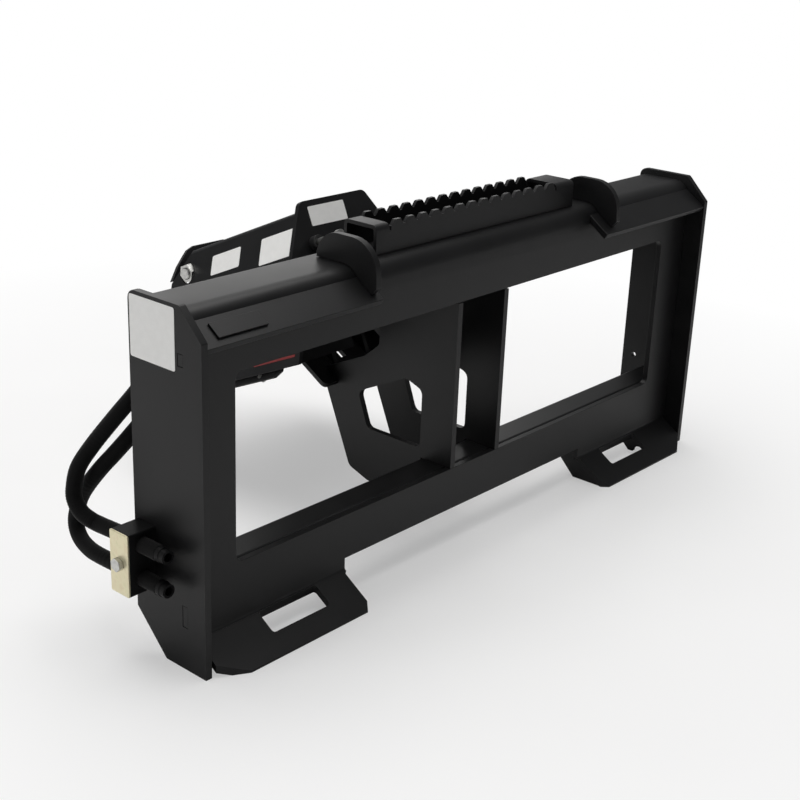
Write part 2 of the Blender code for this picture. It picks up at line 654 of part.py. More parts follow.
# Front cap stands across the hood end
cap_side = 0.1024
cap_shape = [
    (-0.035, CAP_RISE), (0.035, CAP_RISE), (0.050, 0.0075), (0.0600, 0.0), (0.0805, -0.0166),
    (cap_side, -CAP_DEPTH), (-cap_side, -CAP_DEPTH),
    (-0.0805, -0.0166), (-0.0600, 0.0), (-0.050, 0.0075),
]
cap = seat(prism("hood_front_cap", cap_shape, "Y", HOOD_LENGTH, HOOD_LENGTH + CAP_T, COAT))
soften(cap, 0.0008, 1, 60)

# Edge bars along the inside of the hood sides, each with a bolt
si = math.sin(SIDE_SLOPE)
co = math.cos(SIDE_SLOPE)
side_len = HOOD_DEPTH / co
bar_t1 = side_len + 0.0137
bar_t0 = bar_t1 - 0.044
bar_in = HOOD_T + GAP
BAR_BOLT_S = 0.0605
BAR_BOLT_T = side_len + 0.0072


def side_point(t, depth):
    # t runs down the hood side from the fold, depth goes inward from its outer face
    return (HOOD_TOP_HALF + t * si - depth * co, -t * co - depth * si)


for label, side in (("left", -1), ("right", 1)):
    pts = [side_point(bar_t0, bar_in), side_point(bar_t1, bar_in),
           side_point(bar_t1, bar_in + BAR_T), side_point(bar_t0, bar_in + BAR_T)]
    pts = [(side * p[0], p[1]) for p in pts]
    bar = seat(prism("hood_edge_bar_%s" % label, pts, "Y", 0.004, BAR_LENGTH, COAT))
    bolt_bm = bmesh.new()
    prism_into(bolt_bm, circle(0.0, 0.0, 0.0052, 20), "X", -0.020, 0.020)
    cut = finish("bar_bolt_cut_%s" % label, bolt_bm, None)
    base = side_point(BAR_BOLT_T, bar_in + BAR_T)
    y, z = hood_yz(BAR_BOLT_S, -base[1])
    turn = Matrix.Rotation(-SLOPE, 4, "X") @ Matrix.Rotation(-side * SIDE_SLOPE, 4, "Y")
    cut.matrix_world = Matrix.Translation((side * base[0], y, z)) @ turn
    boolean(bar, cut, "DIFFERENCE")
    bolt = lathe("edge_bar_bolt_%s" % label,
                 [(0.0, -0.0045), (0.0085, -0.0045), (0.0085, -0.0004), (0.0046, -0.0004),
                  (0.0046, BAR_T + 0.009), (0.0, BAR_T + 0.009)], "X", STEEL, 20)
    if side < 0:
        turn = turn @ Matrix.Rotation(PI, 4, "Z")
    bolt.matrix_world = Matrix.Translation((side * base[0], y, z)) @ turn

# Pivot bosses, pivot bolt and nut, all on the swing axis
for label, side in (("left", -1), ("right", 1)):
    x0, x1 = mirror_pair(BOSS_IN_X, BOSS_OUT_X, side)
    boss = lathe("pivot_boss_%s" % label,
                 [(PIVOT_R + FIT, x0), (BOSS_R, x0), (BOSS_R, x1), (PIVOT_R + FIT, x1)], "X", IRON, 28)
    seat(boss, PIVOT_S, PIVOT_N)
head_x = BOSS_OUT_X + GAP
pivot_end = -head_x - 0.0132
pivot_bolt = lathe("pivot_bolt", [
    (0.0, pivot_end), (PIVOT_R - 0.001, pivot_end), (PIVOT_R, pivot_end + 0.001), (PIVOT_R, head_x), (0.0165, head_x),
    (0.0165, head_x + 0.010), (0.015, head_x + 0.012), (0.0, head_x + 0.012)], "X", STEEL, 24)
seat(pivot_bolt, PIVOT_S, PIVOT_N)
pivot_nut = prism("pivot_nut", hexagon(0.0, 0.0, 0.028), "X", -head_x - 0.010, -head_x, STEEL,
                  [circle(0.0, 0.0, PIVOT_R + 0.0004, 24)])
seat(pivot_nut, PIVOT_S, PIVOT_N)


# Drive, carried by the cradle on the swing axis
def drive_piece(obj):
    # Meshes are drawn in hood coordinates, then moved to the swing axis
    shift = Matrix.Translation((0.0, -PIVOT_S, PIVOT_N))
    obj.data.transform(shift)
    return seat(obj, PIVOT_S, PIVOT_N)


def on_axis(obj, s, x=0.0, n=AXIS_N):
    obj.data.transform(Matrix.Translation((-x, -s, n)))
    return seat(obj, s, n, x)


plate_end = PLATE_S + CRADLE_T
AX = -AXIS_N
flange_outline = rounded(box_outline(-CRADLE_HALF, CRADLE_HALF, AX - 0.078, AX + 0.078), 0.012, 4)
cradle = prism("swing_cradle", flange_outline, "Y", PLATE_S, plate_end, COAT, [circle(0.0, AX, 0.014, 24)])
arm_bm = bmesh.new()
arm_low_n = AXIS_N + 0.055
arm_shape = [(plate_end - 0.006, -0.050)]
arm_shape += arc(PIVOT_S, -PIVOT_N, EYE_R, PI * 0.62, -PI * 0.72, 14)
arm_shape += [(PIVOT_S - 0.040, -PIVOT_N - 0.052), (plate_end + 0.045, -arm_low_n), (plate_end - 0.006, -arm_low_n)]
for side in (-1, 1):
    x0, x1 = mirror_pair(CRADLE_HALF - CRADLE_T, CRADLE_HALF, side)
    prism_into(arm_bm, arm_shape, "X", x0, x1, [circle(PIVOT_S, -PIVOT_N, PIVOT_R + FIT, 24)])
cradle_arms = finish("cradle_arms", arm_bm, None)
drive_piece(cradle)
drive_piece(cradle_arms)
boolean(cradle, cradle_arms, "UNION")

motor_s0 = plate_end + GAP
motor_outline = rounded(box_outline(-MOTOR_HALF, MOTOR_HALF, AX - MOTOR_HALF, AX + MOTOR_HALF), 0.016, 5)
motor = prism("motor_body", motor_outline, "Y", motor_s0, MOTOR_END_S, IRON,
              [circle(0.0, AX, SUN_SHAFT_R + 0.0008, 24)], smooth=True)
drive_piece(motor)
end_cap = lathe("motor_end_cap", [(0.0, MOTOR_END_S + GAP), (0.047, MOTOR_END_S + GAP), (0.047, END_CAP_S - 0.004),
                                  (0.043, END_CAP_S), (0.0, END_CAP_S)], "Y", IRON, 32, 0.0, AX)
drive_piece(end_cap)
port_n = AXIS_N + MOTOR_HALF + GAP
port_z = -port_n
for i, port_s in enumerate((PLATE_S + 0.0338, PLATE_S + 0.0638)):
    port = lathe("port_fitting_%d" % (i + 1), [
        (0.0, port_z), (0.0110, port_z), (0.0110, port_z - 0.010), (0.0085, port_z - 0.011),
        (0.0085, port_z - 0.024), (0.0055, port_z - 0.024), (0.0055, port_z - 0.008), (0.0, port_z - 0.008)],
        "Z", STEEL, 20, 0.0, port_s)
    drive_piece(port)

# Two motor bolts sit in the corners of the cradle plate and clear the motor body
for i, side in enumerate((-1, 1)):
    bx = side * 0.045
    bz = AX - 0.0645
    bolt = lathe("motor_bolt_%d" % (i + 1), [
        (0.0, plate_end + GAP), (0.009, plate_end + GAP), (0.009, plate_end + 0.0085), (0.0, plate_end + 0.0085)],
        "Y", STEEL, 6, bx, bz)
    drive_piece(bolt)


def gear_outline(teeth, add, ded, internal, slack, turn):
    # Involute flanks with shortened teeth; slack is taken off each flank along the pitch circle
    pitch_r = MODULE * teeth / 2
    base_r = pitch_r * math.cos(math.radians(20))
    tip_r = pitch_r + add
    root_r = pitch_r - ded
    inv = math.tan(math.radians(20)) - math.radians(20)
    half_p = PI / (2 * teeth) - slack / pitch_r
    out = []
    radii = []
    steps = 3
    low = max(root_r, base_r) if not internal else root_r
    low = max(low, base_r)
    for k in range(steps + 1):
        radii.append(low + (tip_r - low) * k / steps)

    def half_at(r):
        a = math.acos(min(1.0, base_r / r))
        return half_p + inv - (math.tan(a) - a)

    for i in range(teeth):
        mid = turn + 2 * PI * i / teeth
        flank = [(r, half_at(r)) for r in radii]
        if root_r < low - 1e-6:
            flank = [(root_r, flank[0][1])] + flank
        for r, h in flank:
            out.append((r * math.cos(mid - h), r * math.sin(mid - h)))
        for r, h in reversed(flank):
            out.append((r * math.cos(mid + h), r * math.sin(mid + h)))
    return out


def moved(points, dx, dz):
    return [(p[0] + dx, p[1] + dz) for p in points]


STUB = 0.75 * MODULE
DEDENDUM = 1.05 * MODULE
SLACK = 0.00012
sun_turn = PI / SUN_TEETH
centre_r = MODULE * (SUN_TEETH + PLANET_TEETH) / 2
# The ring's tooth space is an external tooth outline widened by the slack
ring_space = gear_outline(RING_TEETH, DEDENDUM, STUB, True, -SLACK, 0.0)
housing = prism("gearbox_housing", circle(0.0, AX, HOUSING_R, 56), "Y", HOUSING_S, PLATE_S - GAP, IRON,
                [moved(ring_space, 0.0, AX)], smooth=True)
drive_piece(housing)
nose_top = HOUSING_S - GAP
nose = lathe("gearbox_nose", [
    (SHAFT_R + 0.004, NOSE_S), (NOSE_R - 0.003, NOSE_S), (NOSE_R, NOSE_S + 0.003), (NOSE_R, NOSE_FLANGE_S),
    (HOUSING_R, NOSE_FLANGE_S), (HOUSING_R, nose_top), (BEARING_R + GAP, nose_top),
    (BEARING_R + GAP, NOSE_S + 0.008), (SHAFT_R + 0.004, NOSE_S + 0.008)], "Y", IRON, 48, 0.0, AX)
drive_piece(nose)
lug = prism("lock_lug", box_outline(LOCK_X - LUG_HALF, LOCK_X + LUG_HALF, -LOCK_N - LUG_HALF, -LOCK_N + LUG_HALF),
            "Y", LUG_S, nose_top - 0.001, IRON)
drive_piece(lug)
boolean(nose, lug, "UNION")
lug_hole = prism("lock_lug_hole", circle(LOCK_X, -LOCK_N, LOCK_R + 0.0008, 20), "Y", LUG_S - 0.010,
                 LUG_S + 0.020, None)
drive_piece(lug_hole)
boolean(nose, lug_hole, "DIFFERENCE")
bear_in = SHAFT_R + GAP
bear_s = NOSE_S + 0.008 + GAP
bear_len = (nose_top - bear_s - GAP) / 2
for i in (0, 1):
    s0 = bear_s + i * (bear_len + GAP)
    bearing = lathe("shaft_bearing_%d" % (i + 1), [
        (bear_in, s0), (BEARING_R, s0), (BEARING_R, s0 + bear_len), (bear_in, s0 + bear_len)],
        "Y", STEEL, 32, 0.0, AX)
    drive_piece(bearing)
seal = lathe("shaft_seal", [
    (bear_in, NOSE_S - 0.001), (SHAFT_R + 0.004 - GAP, NOSE_S - 0.001), (SHAFT_R + 0.004 - GAP, NOSE_S + 0.0075),
    (bear_in, NOSE_S + 0.0075)], "Y", RUBBER, 32, 0.0, AX)
drive_piece(seal)

# Output side: shaft, carrier and bit pin turn together
carrier_s0 = HOUSING_S + 0.0135
carrier_s1 = carrier_s0 + 0.014
spigot_r = 0.022
shaft_in = lathe("output_shaft", [
    (0.0, 0.020), (SHAFT_R, 0.020), (SHAFT_R, carrier_s0 - GAP), (spigot_r, carrier_s0 - GAP),
    (spigot_r, carrier_s1), (0.0, carrier_s1)], "Y", STEEL, 40, 0.0, AX)
hex_part = prism("shaft_hex", hexagon(0.0, AX, HEX_FLATS), "Y", HEX_END_S, 0.030, STEEL)
pin_cut_bm = bmesh.new()
prism_into(pin_cut_bm, circle(-0.050, AX, BIT_PIN_R + 0.0006, 20), "X", -0.060, 0.060)
pin_cut = finish("bit_pin_hole_cut", pin_cut_bm, None)
for piece in (shaft_in, hex_part, pin_cut):
    on_axis(piece, 0.0)
boolean(shaft_in, hex_part, "UNION")
boolean(shaft_in, pin_cut, "DIFFERENCE")
bit_pin = lathe("bit_pin", [(0.0, -BIT_PIN_HALF), (0.0125, -BIT_PIN_HALF), (0.0125, -BIT_PIN_HALF + 0.007),
                            (BIT_PIN_R, -BIT_PIN_HALF + 0.007), (BIT_PIN_R, BIT_PIN_HALF),
                            (0.0, BIT_PIN_HALF)], "X", STEEL, 20, -0.050, AX)
on_axis(bit_pin, 0.0)

carrier = lathe("planet_carrier", [
    (spigot_r + GAP, carrier_s0), (0.0500, carrier_s0), (0.0500, carrier_s1), (spigot_r + GAP, carrier_s1)],
    "Y", STEEL, 48, 0.0, AX)
pins_bm = bmesh.new()
planet_angles = [PI / 2 + 2 * PI * k / 3 for k in range(3)]
gear_end = GEAR_S + GEAR_W
for angle in planet_angles:
    px = centre_r * math.cos(angle)
    pz = AX + centre_r * math.sin(angle)
    prism_into(pins_bm, circle(px, pz, PLANET_PIN_R, 24), "Y", carrier_s0 + 0.004, gear_end + 0.002)
carrier_pins = finish("carrier_pins", pins_bm, None, True)
on_axis(carrier, carrier_s0)
on_axis(carrier_pins, carrier_s0)
boolean(carrier, carrier_pins, "UNION")

sun = prism("sun_gear", moved(gear_outline(SUN_TEETH, STUB, DEDENDUM, False, SLACK, sun_turn), 0.0, AX), "Y",
            GEAR_S, gear_end, STEEL, [circle(0.0, AX, SUN_SHAFT_R + GAP, 24)])
on_axis(sun, GEAR_S)
sun_shaft = lathe("sun_shaft", [(0.0, GEAR_S), (SUN_SHAFT_R, GEAR_S), (SUN_SHAFT_R, MOTOR_END_S - 0.002),
                                (0.0, MOTOR_END_S - 0.002)], "Y", STEEL, 24, 0.0, AX)
on_axis(sun_shaft, GEAR_S)
for k, angle in enumerate(planet_angles):
    px = centre_r * math.cos(angle)
    pz = AX + centre_r * math.sin(angle)
    # One planet tooth points straight out into a space of the ring
    shape = gear_outline(PLANET_TEETH, STUB, DEDENDUM, False, SLACK, angle)
    planet = prism("planet_gear_%d" % (k + 1), moved(shape, px, pz), "Y", GEAR_S, gear_end, STEEL,
                   [circle(px, pz, PLANET_PIN_R + 0.0005, 24)])
    on_axis(planet, GEAR_S, px, -pz)

# Transport lock pin, drawn back through the bulkhead, with its guide
GUIDE_T = 0.012
lock_head = 0.008
LOCK_S0 = -BULK_T - GUIDE_T - LOCK_TRAVEL - lock_head - 0.001
LOCK_S1 = -0.002
lock = lathe("lock_pin", [
    (0.0, LOCK_S0), (0.009, LOCK_S0), (0.009, LOCK_S0 + lock_head), (LOCK_R, LOCK_S0 + lock_head),
    (LOCK_R, LOCK_S1), (LOCK_R - 0.002, LOCK_S1 + 0.004), (0.0, LOCK_S1 + 0.004)],
    "Y", STEEL, 20, LOCK_X, -LOCK_N)
on_axis(lock, 0.0, LOCK_X, LOCK_N)
lock_guide = lathe("lock_pin_guide", [
    (LOCK_R + 0.0005, -BULK_T - GAP - GUIDE_T), (0.012, -BULK_T - GAP - GUIDE_T), (0.012, -BULK_T - GAP),
    (LOCK_R + 0.0005, -BULK_T - GAP)], "Y", IRON, 24, LOCK_X, -LOCK_N)
seat(lock_guide)

# Hose clamp on the left end plate
clamp_x1 = -FRAME_WIDTH / 2 - GAP
clamp_x0 = clamp_x1 - CLAMP_BLOCK_T
clamp_shape = rounded(box_outline(CLAMP_Y - CLAMP_DEPTH / 2, CLAMP_Y + CLAMP_DEPTH / 2,
                                  CLAMP_Z - CLAMP_HEIGHT / 2, CLAMP_Z + CLAMP_HEIGHT / 2), 0.002, 2)
clamp = prism("clamp_block", clamp_shape, "X", clamp_x0, clamp_x1, RUBBER,
              [circle(CLAMP_Y, CLAMP_Z, BOLT_R + 0.0008, 20)])
bores_bm = bmesh.new()
for z in (HOSE_UPPER_Z, HOSE_LOWER_Z):
    prism_into(bores_bm, circle(HOSE_X, z, HOSE_R + 0.0005, 24), "Y", 0.060, 0.170)
clamp_bores = finish("clamp_bores", bores_bm, None)
boolean(clamp, clamp_bores, "DIFFERENCE")
cover_x1 = clamp_x0 - GAP
cover = prism("clamp_cover_plate", clamp_shape, "X", cover_x1 - COVER_T, cover_x1, ZINC,
              [circle(CLAMP_Y, CLAMP_Z, BOLT_R + 0.0008, 20)])
soften(cover, 0.0005)
bolt_head = cover_x1 - COVER_T - GAP
bolt_bm = bmesh.new()
prism_into(bolt_bm, hexagon(CLAMP_Y, CLAMP_Z, 0.0165, 0.3), "X", bolt_head - 0.0064, bolt_head)
clamp_bolt = finish("clamp_bolt", bolt_bm, STEEL)
shank = lathe("clamp_bolt_shank", [
    (0.0, bolt_head - 0.003), (BOLT_R, bolt_head - 0.003), (BOLT_R, -INNER_X + 0.012), (0.0, -INNER_X + 0.012)],
    "X", STEEL, 20, CLAMP_Y, CLAMP_Z)
boolean(clamp_bolt, shank, "UNION")

# Junction block inside the hood: the hoses end in it beside the swing path
junction = prism("hose_junction_block", rounded(box_outline(JUNCTION_X - 0.018, JUNCTION_X + 0.018, -JUNCTION_N_2 - 0.018,
                 -JUNCTION_N_1 + 0.018), 0.003, 2), "Y", GAP, 0.030, IRON,
                 [circle(JUNCTION_X, -JUNCTION_N_1, HOSE_HOLE_R, 20), circle(JUNCTION_X, -JUNCTION_N_2, HOSE_HOLE_R, 20)])
seat(junction)


# Hoses: smooth curves from the clamp, round the end plate, along the beam front to the bulkhead
def catmull(points, per):
    out = []
    pts = [points[0] + (points[0] - points[1])] + points + [points[-1] + (points[-1] - points[-2])]
    for i in range(1, len(pts) - 2):
        p0, p1, p2, p3 = pts[i - 1], pts[i], pts[i + 1], pts[i + 2]
        for k in range(per):
            t = k / per
            a = (p1 * 2) + (p2 - p0) * t + (p0 * 2 - p1 * 5 + p2 * 4 - p3) * t * t
            b = (p1 * 3 - p0 - p2 * 3 + p3) * t * t * t
            out.append((a + b) * 0.5)
    out.append(points[-1])
    return out


def hose(name, points, per=5):
    curve = bpy.data.curves.new(name, "CURVE")
    curve.dimensions = "3D"
    path = catmull([Vector(p) for p in points], per)
    spline = curve.splines.new("POLY")
    spline.points.add(len(path) - 1)
    for i, p in enumerate(path):
        spline.points[i].co = (p.x, p.y, p.z, 1.0)
        spline.points[i].radius = 1.0
    spline.use_smooth = True
    curve.bevel_depth = HOSE_R
    curve.bevel_resolution = 3
    curve.use_fill_caps = True
    curve.twist_mode = "MINIMUM"
    obj = bpy.data.objects.new(name, curve)
    bpy.context.scene.collection.objects.link(obj)
    colour, metallic, rough = RUBBER
    curve.materials.append(material(name + "_mat", colour, metallic, rough))
    total = 0.0
    for i in range(len(path) - 1):
        total += (path[i + 1] - path[i]).length
    print("HOSE", name, round(total, 4), len(path))
    return obj


def hood_place(x, s, n):
    y, z = hood_yz(s, n)
    return (x, y, z)


upper_points = [
    (HOSE_X, HOSE_START_Y, HOSE_UPPER_Z), (HOSE_X, 0.0950, HOSE_UPPER_Z), (HOSE_X, 0.1350, HOSE_UPPER_Z),
    (HOSE_X - 0.003, 0.1725, 0.1723), (HOSE_X - 0.008, 0.2039, 0.1779), (HOSE_X - 0.012, 0.2199, 0.1925),
    (HOSE_X - 0.013, 0.2205, 0.2160), (HOSE_X - 0.011, 0.2172, 0.2346), (HOSE_X - 0.003, 0.2040, 0.2683),
    (HOSE_X + 0.013, 0.1812, 0.3039), (HOSE_X + 0.035, 0.1673, 0.3284), (-0.5300, 0.1600, 0.3600),
    (-0.4800, 0.1590, 0.3830), (-0.4100, 0.1590, 0.3960), (-0.3200, 0.1600, 0.3980), (-0.2300, 0.1640, 0.3970),
    (-0.1600, 0.1850, 0.3960), hood_place(JUNCTION_X - 0.006, -0.060, JUNCTION_N_1),
    hood_place(JUNCTION_X, -0.025, JUNCTION_N_1), hood_place(JUNCTION_X, 0.024, JUNCTION_N_1),
]
lower_points = [
    (HOSE_X, HOSE_START_Y, HOSE_LOWER_Z), (HOSE_X, 0.0950, HOSE_LOWER_Z), (HOSE_X, 0.1350, HOSE_LOWER_Z),
    (HOSE_X + 0.001, 0.1720, 0.1180), (HOSE_X + 0.004, 0.2092, 0.1149), (HOSE_X + 0.009, 0.2376, 0.1191),
    (HOSE_X + 0.013, 0.2518, 0.1359), (HOSE_X + 0.015, 0.2537, 0.1596), (HOSE_X + 0.017, 0.2355, 0.1925),
    (HOSE_X + 0.023, 0.2033, 0.2389), (HOSE_X + 0.039, 0.1822, 0.2697), (-0.5400, 0.1700, 0.3100),
    (-0.5050, 0.1620, 0.3400), (-0.4500, 0.1600, 0.3560), (-0.4000, 0.1600, 0.3630), (-0.3200, 0.1620, 0.3640),
    (-0.2300, 0.1660, 0.3640), (-0.1600, 0.1860, 0.3630), hood_place(JUNCTION_X - 0.006, -0.060, JUNCTION_N_2),
    hood_place(JUNCTION_X, -0.025, JUNCTION_N_2), hood_place(JUNCTION_X, 0.024, JUNCTION_N_2),
]
hose("hose_upper", upper_points, 3)
hose("hose_lower", lower_points, 3)
for label, z in (("upper", HOSE_UPPER_Z), ("lower", HOSE_LOWER_Z)):
    lathe("hose_ferrule_%s" % label, [
        (FERRULE_BORE_R, FERRULE_Y), (FERRULE_R, FERRULE_Y), (FERRULE_R, FERRULE_Y + 0.008),
        (FERRULE_R + 0.001, FERRULE_Y + 0.009), (FERRULE_R + 0.001, HOSE_START_Y - GAP),
        (FERRULE_BORE_R, HOSE_START_Y - GAP)], "Y", RUBBER, 24, HOSE_X, z)

# The model stands on the floor with the middle of its bounding box over the origin
bpy.context.view_layer.update()
depsgraph = bpy.context.evaluated_depsgraph_get()
low = Vector((1e9, 1e9, 1e9))
high = Vector((-1e9, -1e9, -1e9))
for obj in bpy.context.scene.objects:
    if obj.hide_render or obj.type not in {"MESH", "CURVE"}:
        continue
    seen = obj.evaluated_get(depsgraph)
    mesh = seen.to_mesh()
    for vert in mesh.vertices:
        p = seen.matrix_world @ vert.co
        for axis in range(3):
            low[axis] = min(low[axis], p[axis])
            high[axis] = max(high[axis], p[axis])
    seen.to_mesh_clear()
middle = Vector(((low.x + high.x) / 2, (low.y + high.y) / 2, low.z))
for obj in bpy.context.scene.objects:
    if obj.parent is None:
        obj.location = obj.location - middle
bpy.context.view_layer.update()
print("SHIFT", [round(v, 6) for v in middle], "SIZE", [round(v, 6) for v in (high - low)])
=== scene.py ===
# Earth auger drive on a quick attach frame: finishes, labels, woven hose sleeves, studio and camera.
import math

import bmesh
import bpy
from mathutils import Matrix, Vector


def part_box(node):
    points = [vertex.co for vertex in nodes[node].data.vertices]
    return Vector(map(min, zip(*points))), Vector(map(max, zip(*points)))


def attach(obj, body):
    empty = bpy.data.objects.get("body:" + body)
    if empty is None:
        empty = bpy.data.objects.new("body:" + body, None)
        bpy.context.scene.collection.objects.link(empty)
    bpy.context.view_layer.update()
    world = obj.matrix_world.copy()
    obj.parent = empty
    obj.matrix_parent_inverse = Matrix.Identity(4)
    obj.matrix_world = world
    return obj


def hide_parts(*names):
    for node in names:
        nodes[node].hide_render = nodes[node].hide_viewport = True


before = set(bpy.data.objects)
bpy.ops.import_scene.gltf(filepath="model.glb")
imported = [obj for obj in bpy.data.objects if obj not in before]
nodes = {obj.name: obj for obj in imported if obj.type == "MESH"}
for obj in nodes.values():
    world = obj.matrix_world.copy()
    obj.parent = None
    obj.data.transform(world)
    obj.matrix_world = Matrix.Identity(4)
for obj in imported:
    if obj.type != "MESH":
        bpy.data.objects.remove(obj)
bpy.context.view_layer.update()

MM = 0.001

# The drawing origin is the rear bottom edge of the end plates, half way across the frame
FRAME_WIDTH = 1.160
left_plate_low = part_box("end_plate_left")[0]
origin = Vector((left_plate_low.x + FRAME_WIDTH / 2, left_plate_low.y, 0.0))

# The hood's top edge at the bulkhead, its slope down and away from the frame, half its flat top, its sides' slope
HOOD_Y = 0.3464
HOOD_Z = 0.4711
SLOPE = math.radians(24.2)
HOOD_TOP_HALF = 0.080
SIDE_SLOPE = math.radians(29.0)
cs = math.cos(SLOPE)
sn = math.sin(SLOPE)
co = math.cos(SIDE_SLOPE)
si = math.sin(SIDE_SLOPE)

# Camera fitted to the photograph: turned 49.27 degrees, tipped down 20.92, rolled 2.24
camera_place = Vector((-1.5937, -1.1805, 0.9826))
camera_turn = math.radians(49.27)
camera_tip = math.radians(20.92)
camera_roll = math.radians(2.24)
camera_pixels = 1400.2
image_width = 800.0
sensor = 36.0


def place(x, y, z):
    return origin + Vector((x, y, z))


def hood_yz(s, n):
    # s runs down the hood, n goes in from its top
    return (HOOD_Y + s * cs - n * sn, HOOD_Z - s * sn - n * cs)


def on_hood(x, s, n):
    y, z = hood_yz(s, n)
    return place(x, y, z)


def on_left_side(s, t, out=0.0):
    # t runs down the left hood side from its fold, out stands off its outer face
    x = -(HOOD_TOP_HALF + t * si + out * co)
    n = t * co - out * si
    return on_hood(x, s, n)


def new_object(name, data):
    obj = bpy.data.objects.new(name, data)
    bpy.context.scene.collection.objects.link(obj)
    return obj


# Camera
forward = Vector((math.sin(camera_turn) * math.cos(camera_tip), math.cos(camera_turn) * math.cos(camera_tip),
                  -math.sin(camera_tip)))
level_right = Vector((math.cos(camera_turn), -math.sin(camera_turn), 0.0))
level_up = level_right.cross(forward)
right = math.cos(camera_roll) * level_right + math.sin(camera_roll) * level_up
up = -math.sin(camera_roll) * level_right + math.cos(camera_roll) * level_up
camera_data = bpy.data.cameras.new("camera")
camera = new_object("camera", camera_data)
turned = Matrix((right, up, -forward)).transposed().to_4x4()
camera.matrix_world = Matrix.Translation(origin + camera_place) @ turned
camera_data.sensor_width = sensor
camera_data.lens = camera_pixels * sensor / image_width
camera_data.clip_end = 60.0
bpy.context.scene.camera = camera
bpy.context.scene.view_settings.view_transform = "Standard"


# Materials
def linear(hex_colour):
    out = []
    for i in (0, 2, 4):
        v = int(hex_colour[i:i + 2], 16) / 255
        out.append(v / 12.92 if v <= 0.04045 else ((v + 0.055) / 1.055) ** 2.4)
    return (out[0], out[1], out[2], 1.0)


def add(tree, kind, settings=None, links=None):
    node = tree.nodes.new(kind)
    for key, value in (settings or {}).items():
        if key in node.inputs:
            node.inputs[key].default_value = value
        else:
            setattr(node, key, value)
    for key, (other, socket) in (links or {}).items():
        tree.links.new(other.outputs[socket], node.inputs[key])
    return node


def new_material(name, colour, rough, metallic=0.0):
    mat = bpy.data.materials.new(name)
    mat.use_nodes = True
    tree = mat.node_tree
    shader = tree.nodes["Principled BSDF"]
    shader.inputs["Base Color"].default_value = linear(colour)
    shader.inputs["Roughness"].default_value = rough
    shader.inputs["Metallic"].default_value = metallic
    coords = add(tree, "ShaderNodeTexCoord")
    return mat, tree, shader, coords


def ramp_colours(node, stops):
    ramp = node.color_ramp
    while len(ramp.elements) > 2:
        ramp.elements.remove(ramp.elements[-1])
    while len(ramp.elements) < len(stops):
        ramp.elements.new(0.5)
    for element, (at, colour) in zip(ramp.elements, stops):
        element.position = at
        element.color = colour


def powder_coat():
    # Satin polyester powder on steel: an even dark film with a faint orange peel of about 2.5 mm
    mat, tree, shader, coords = new_material("satin_black_powder_coat", "141415", 0.40)
    shader.inputs["Specular IOR Level"].default_value = 0.30
    patches = add(tree, "ShaderNodeTexNoise", {"Scale": 1 / (60 * MM), "Detail": 3.0},
                  {"Vector": (coords, "Object")})
    tone = add(tree, "ShaderNodeValToRGB", None, {"Fac": (patches, "Fac")})
    ramp_colours(tone, [(0.30, linear("111112")), (0.70, linear("171718"))])
    gloss = add(tree, "ShaderNodeMapRange", {"To Min": 0.36, "To Max": 0.46}, {"Value": (patches, "Fac")})
    peel = add(tree, "ShaderNodeTexNoise", {"Scale": 1 / (2.5 * MM), "Detail": 2.0},
               {"Vector": (coords, "Object")})
    bump = add(tree, "ShaderNodeBump", {"Strength": 0.10, "Distance": 0.1 * MM}, {"Height": (peel, "Fac")})
    tree.links.new(tone.outputs["Color"], shader.inputs["Base Color"])
    tree.links.new(gloss.outputs["Result"], shader.inputs["Roughness"])
    tree.links.new(bump.outputs["Normal"], shader.inputs["Normal"])
    return mat


def painted_casting():
    # Grey iron under one coat of black enamel: the sand grain of about 1.5 mm still shows
    mat, tree, shader, coords = new_material("black_enamel_on_cast_iron", "181819", 0.50)
    grain = add(tree, "ShaderNodeTexNoise", {"Scale": 1 / (1.5 * MM), "Detail": 5.0, "Roughness": 0.65},
                {"Vector": (coords, "Object")})
    tone = add(tree, "ShaderNodeValToRGB", None, {"Fac": (grain, "Fac")})
    ramp_colours(tone, [(0.35, linear("131314")), (0.70, linear("1c1c1d"))])
    bump = add(tree, "ShaderNodeBump", {"Strength": 0.45, "Distance": 0.3 * MM}, {"Height": (grain, "Fac")})
    tree.links.new(tone.outputs["Color"], shader.inputs["Base Color"])
    tree.links.new(bump.outputs["Normal"], shader.inputs["Normal"])
    return mat


def bright_zinc():
    # Bright zinc on steel fasteners: pale, slightly cloudy metal with fine crystal spangle
    mat, tree, shader, coords = new_material("bright_zinc_plated_steel", "c9c9c6", 0.30, 1.0)
    cloud = add(tree, "ShaderNodeTexNoise", {"Scale": 1 / (6 * MM), "Detail": 4.0}, {"Vector": (coords, "Object")})
    tone = add(tree, "ShaderNodeValToRGB", None, {"Fac": (cloud, "Fac")})
    ramp_colours(tone, [(0.30, linear("b8b8b6")), (0.75, linear("dadad6"))])
    gloss = add(tree, "ShaderNodeMapRange", {"To Min": 0.22, "To Max": 0.40}, {"Value": (cloud, "Fac")})
    tree.links.new(tone.outputs["Color"], shader.inputs["Base Color"])
    tree.links.new(gloss.outputs["Result"], shader.inputs["Roughness"])
    return mat


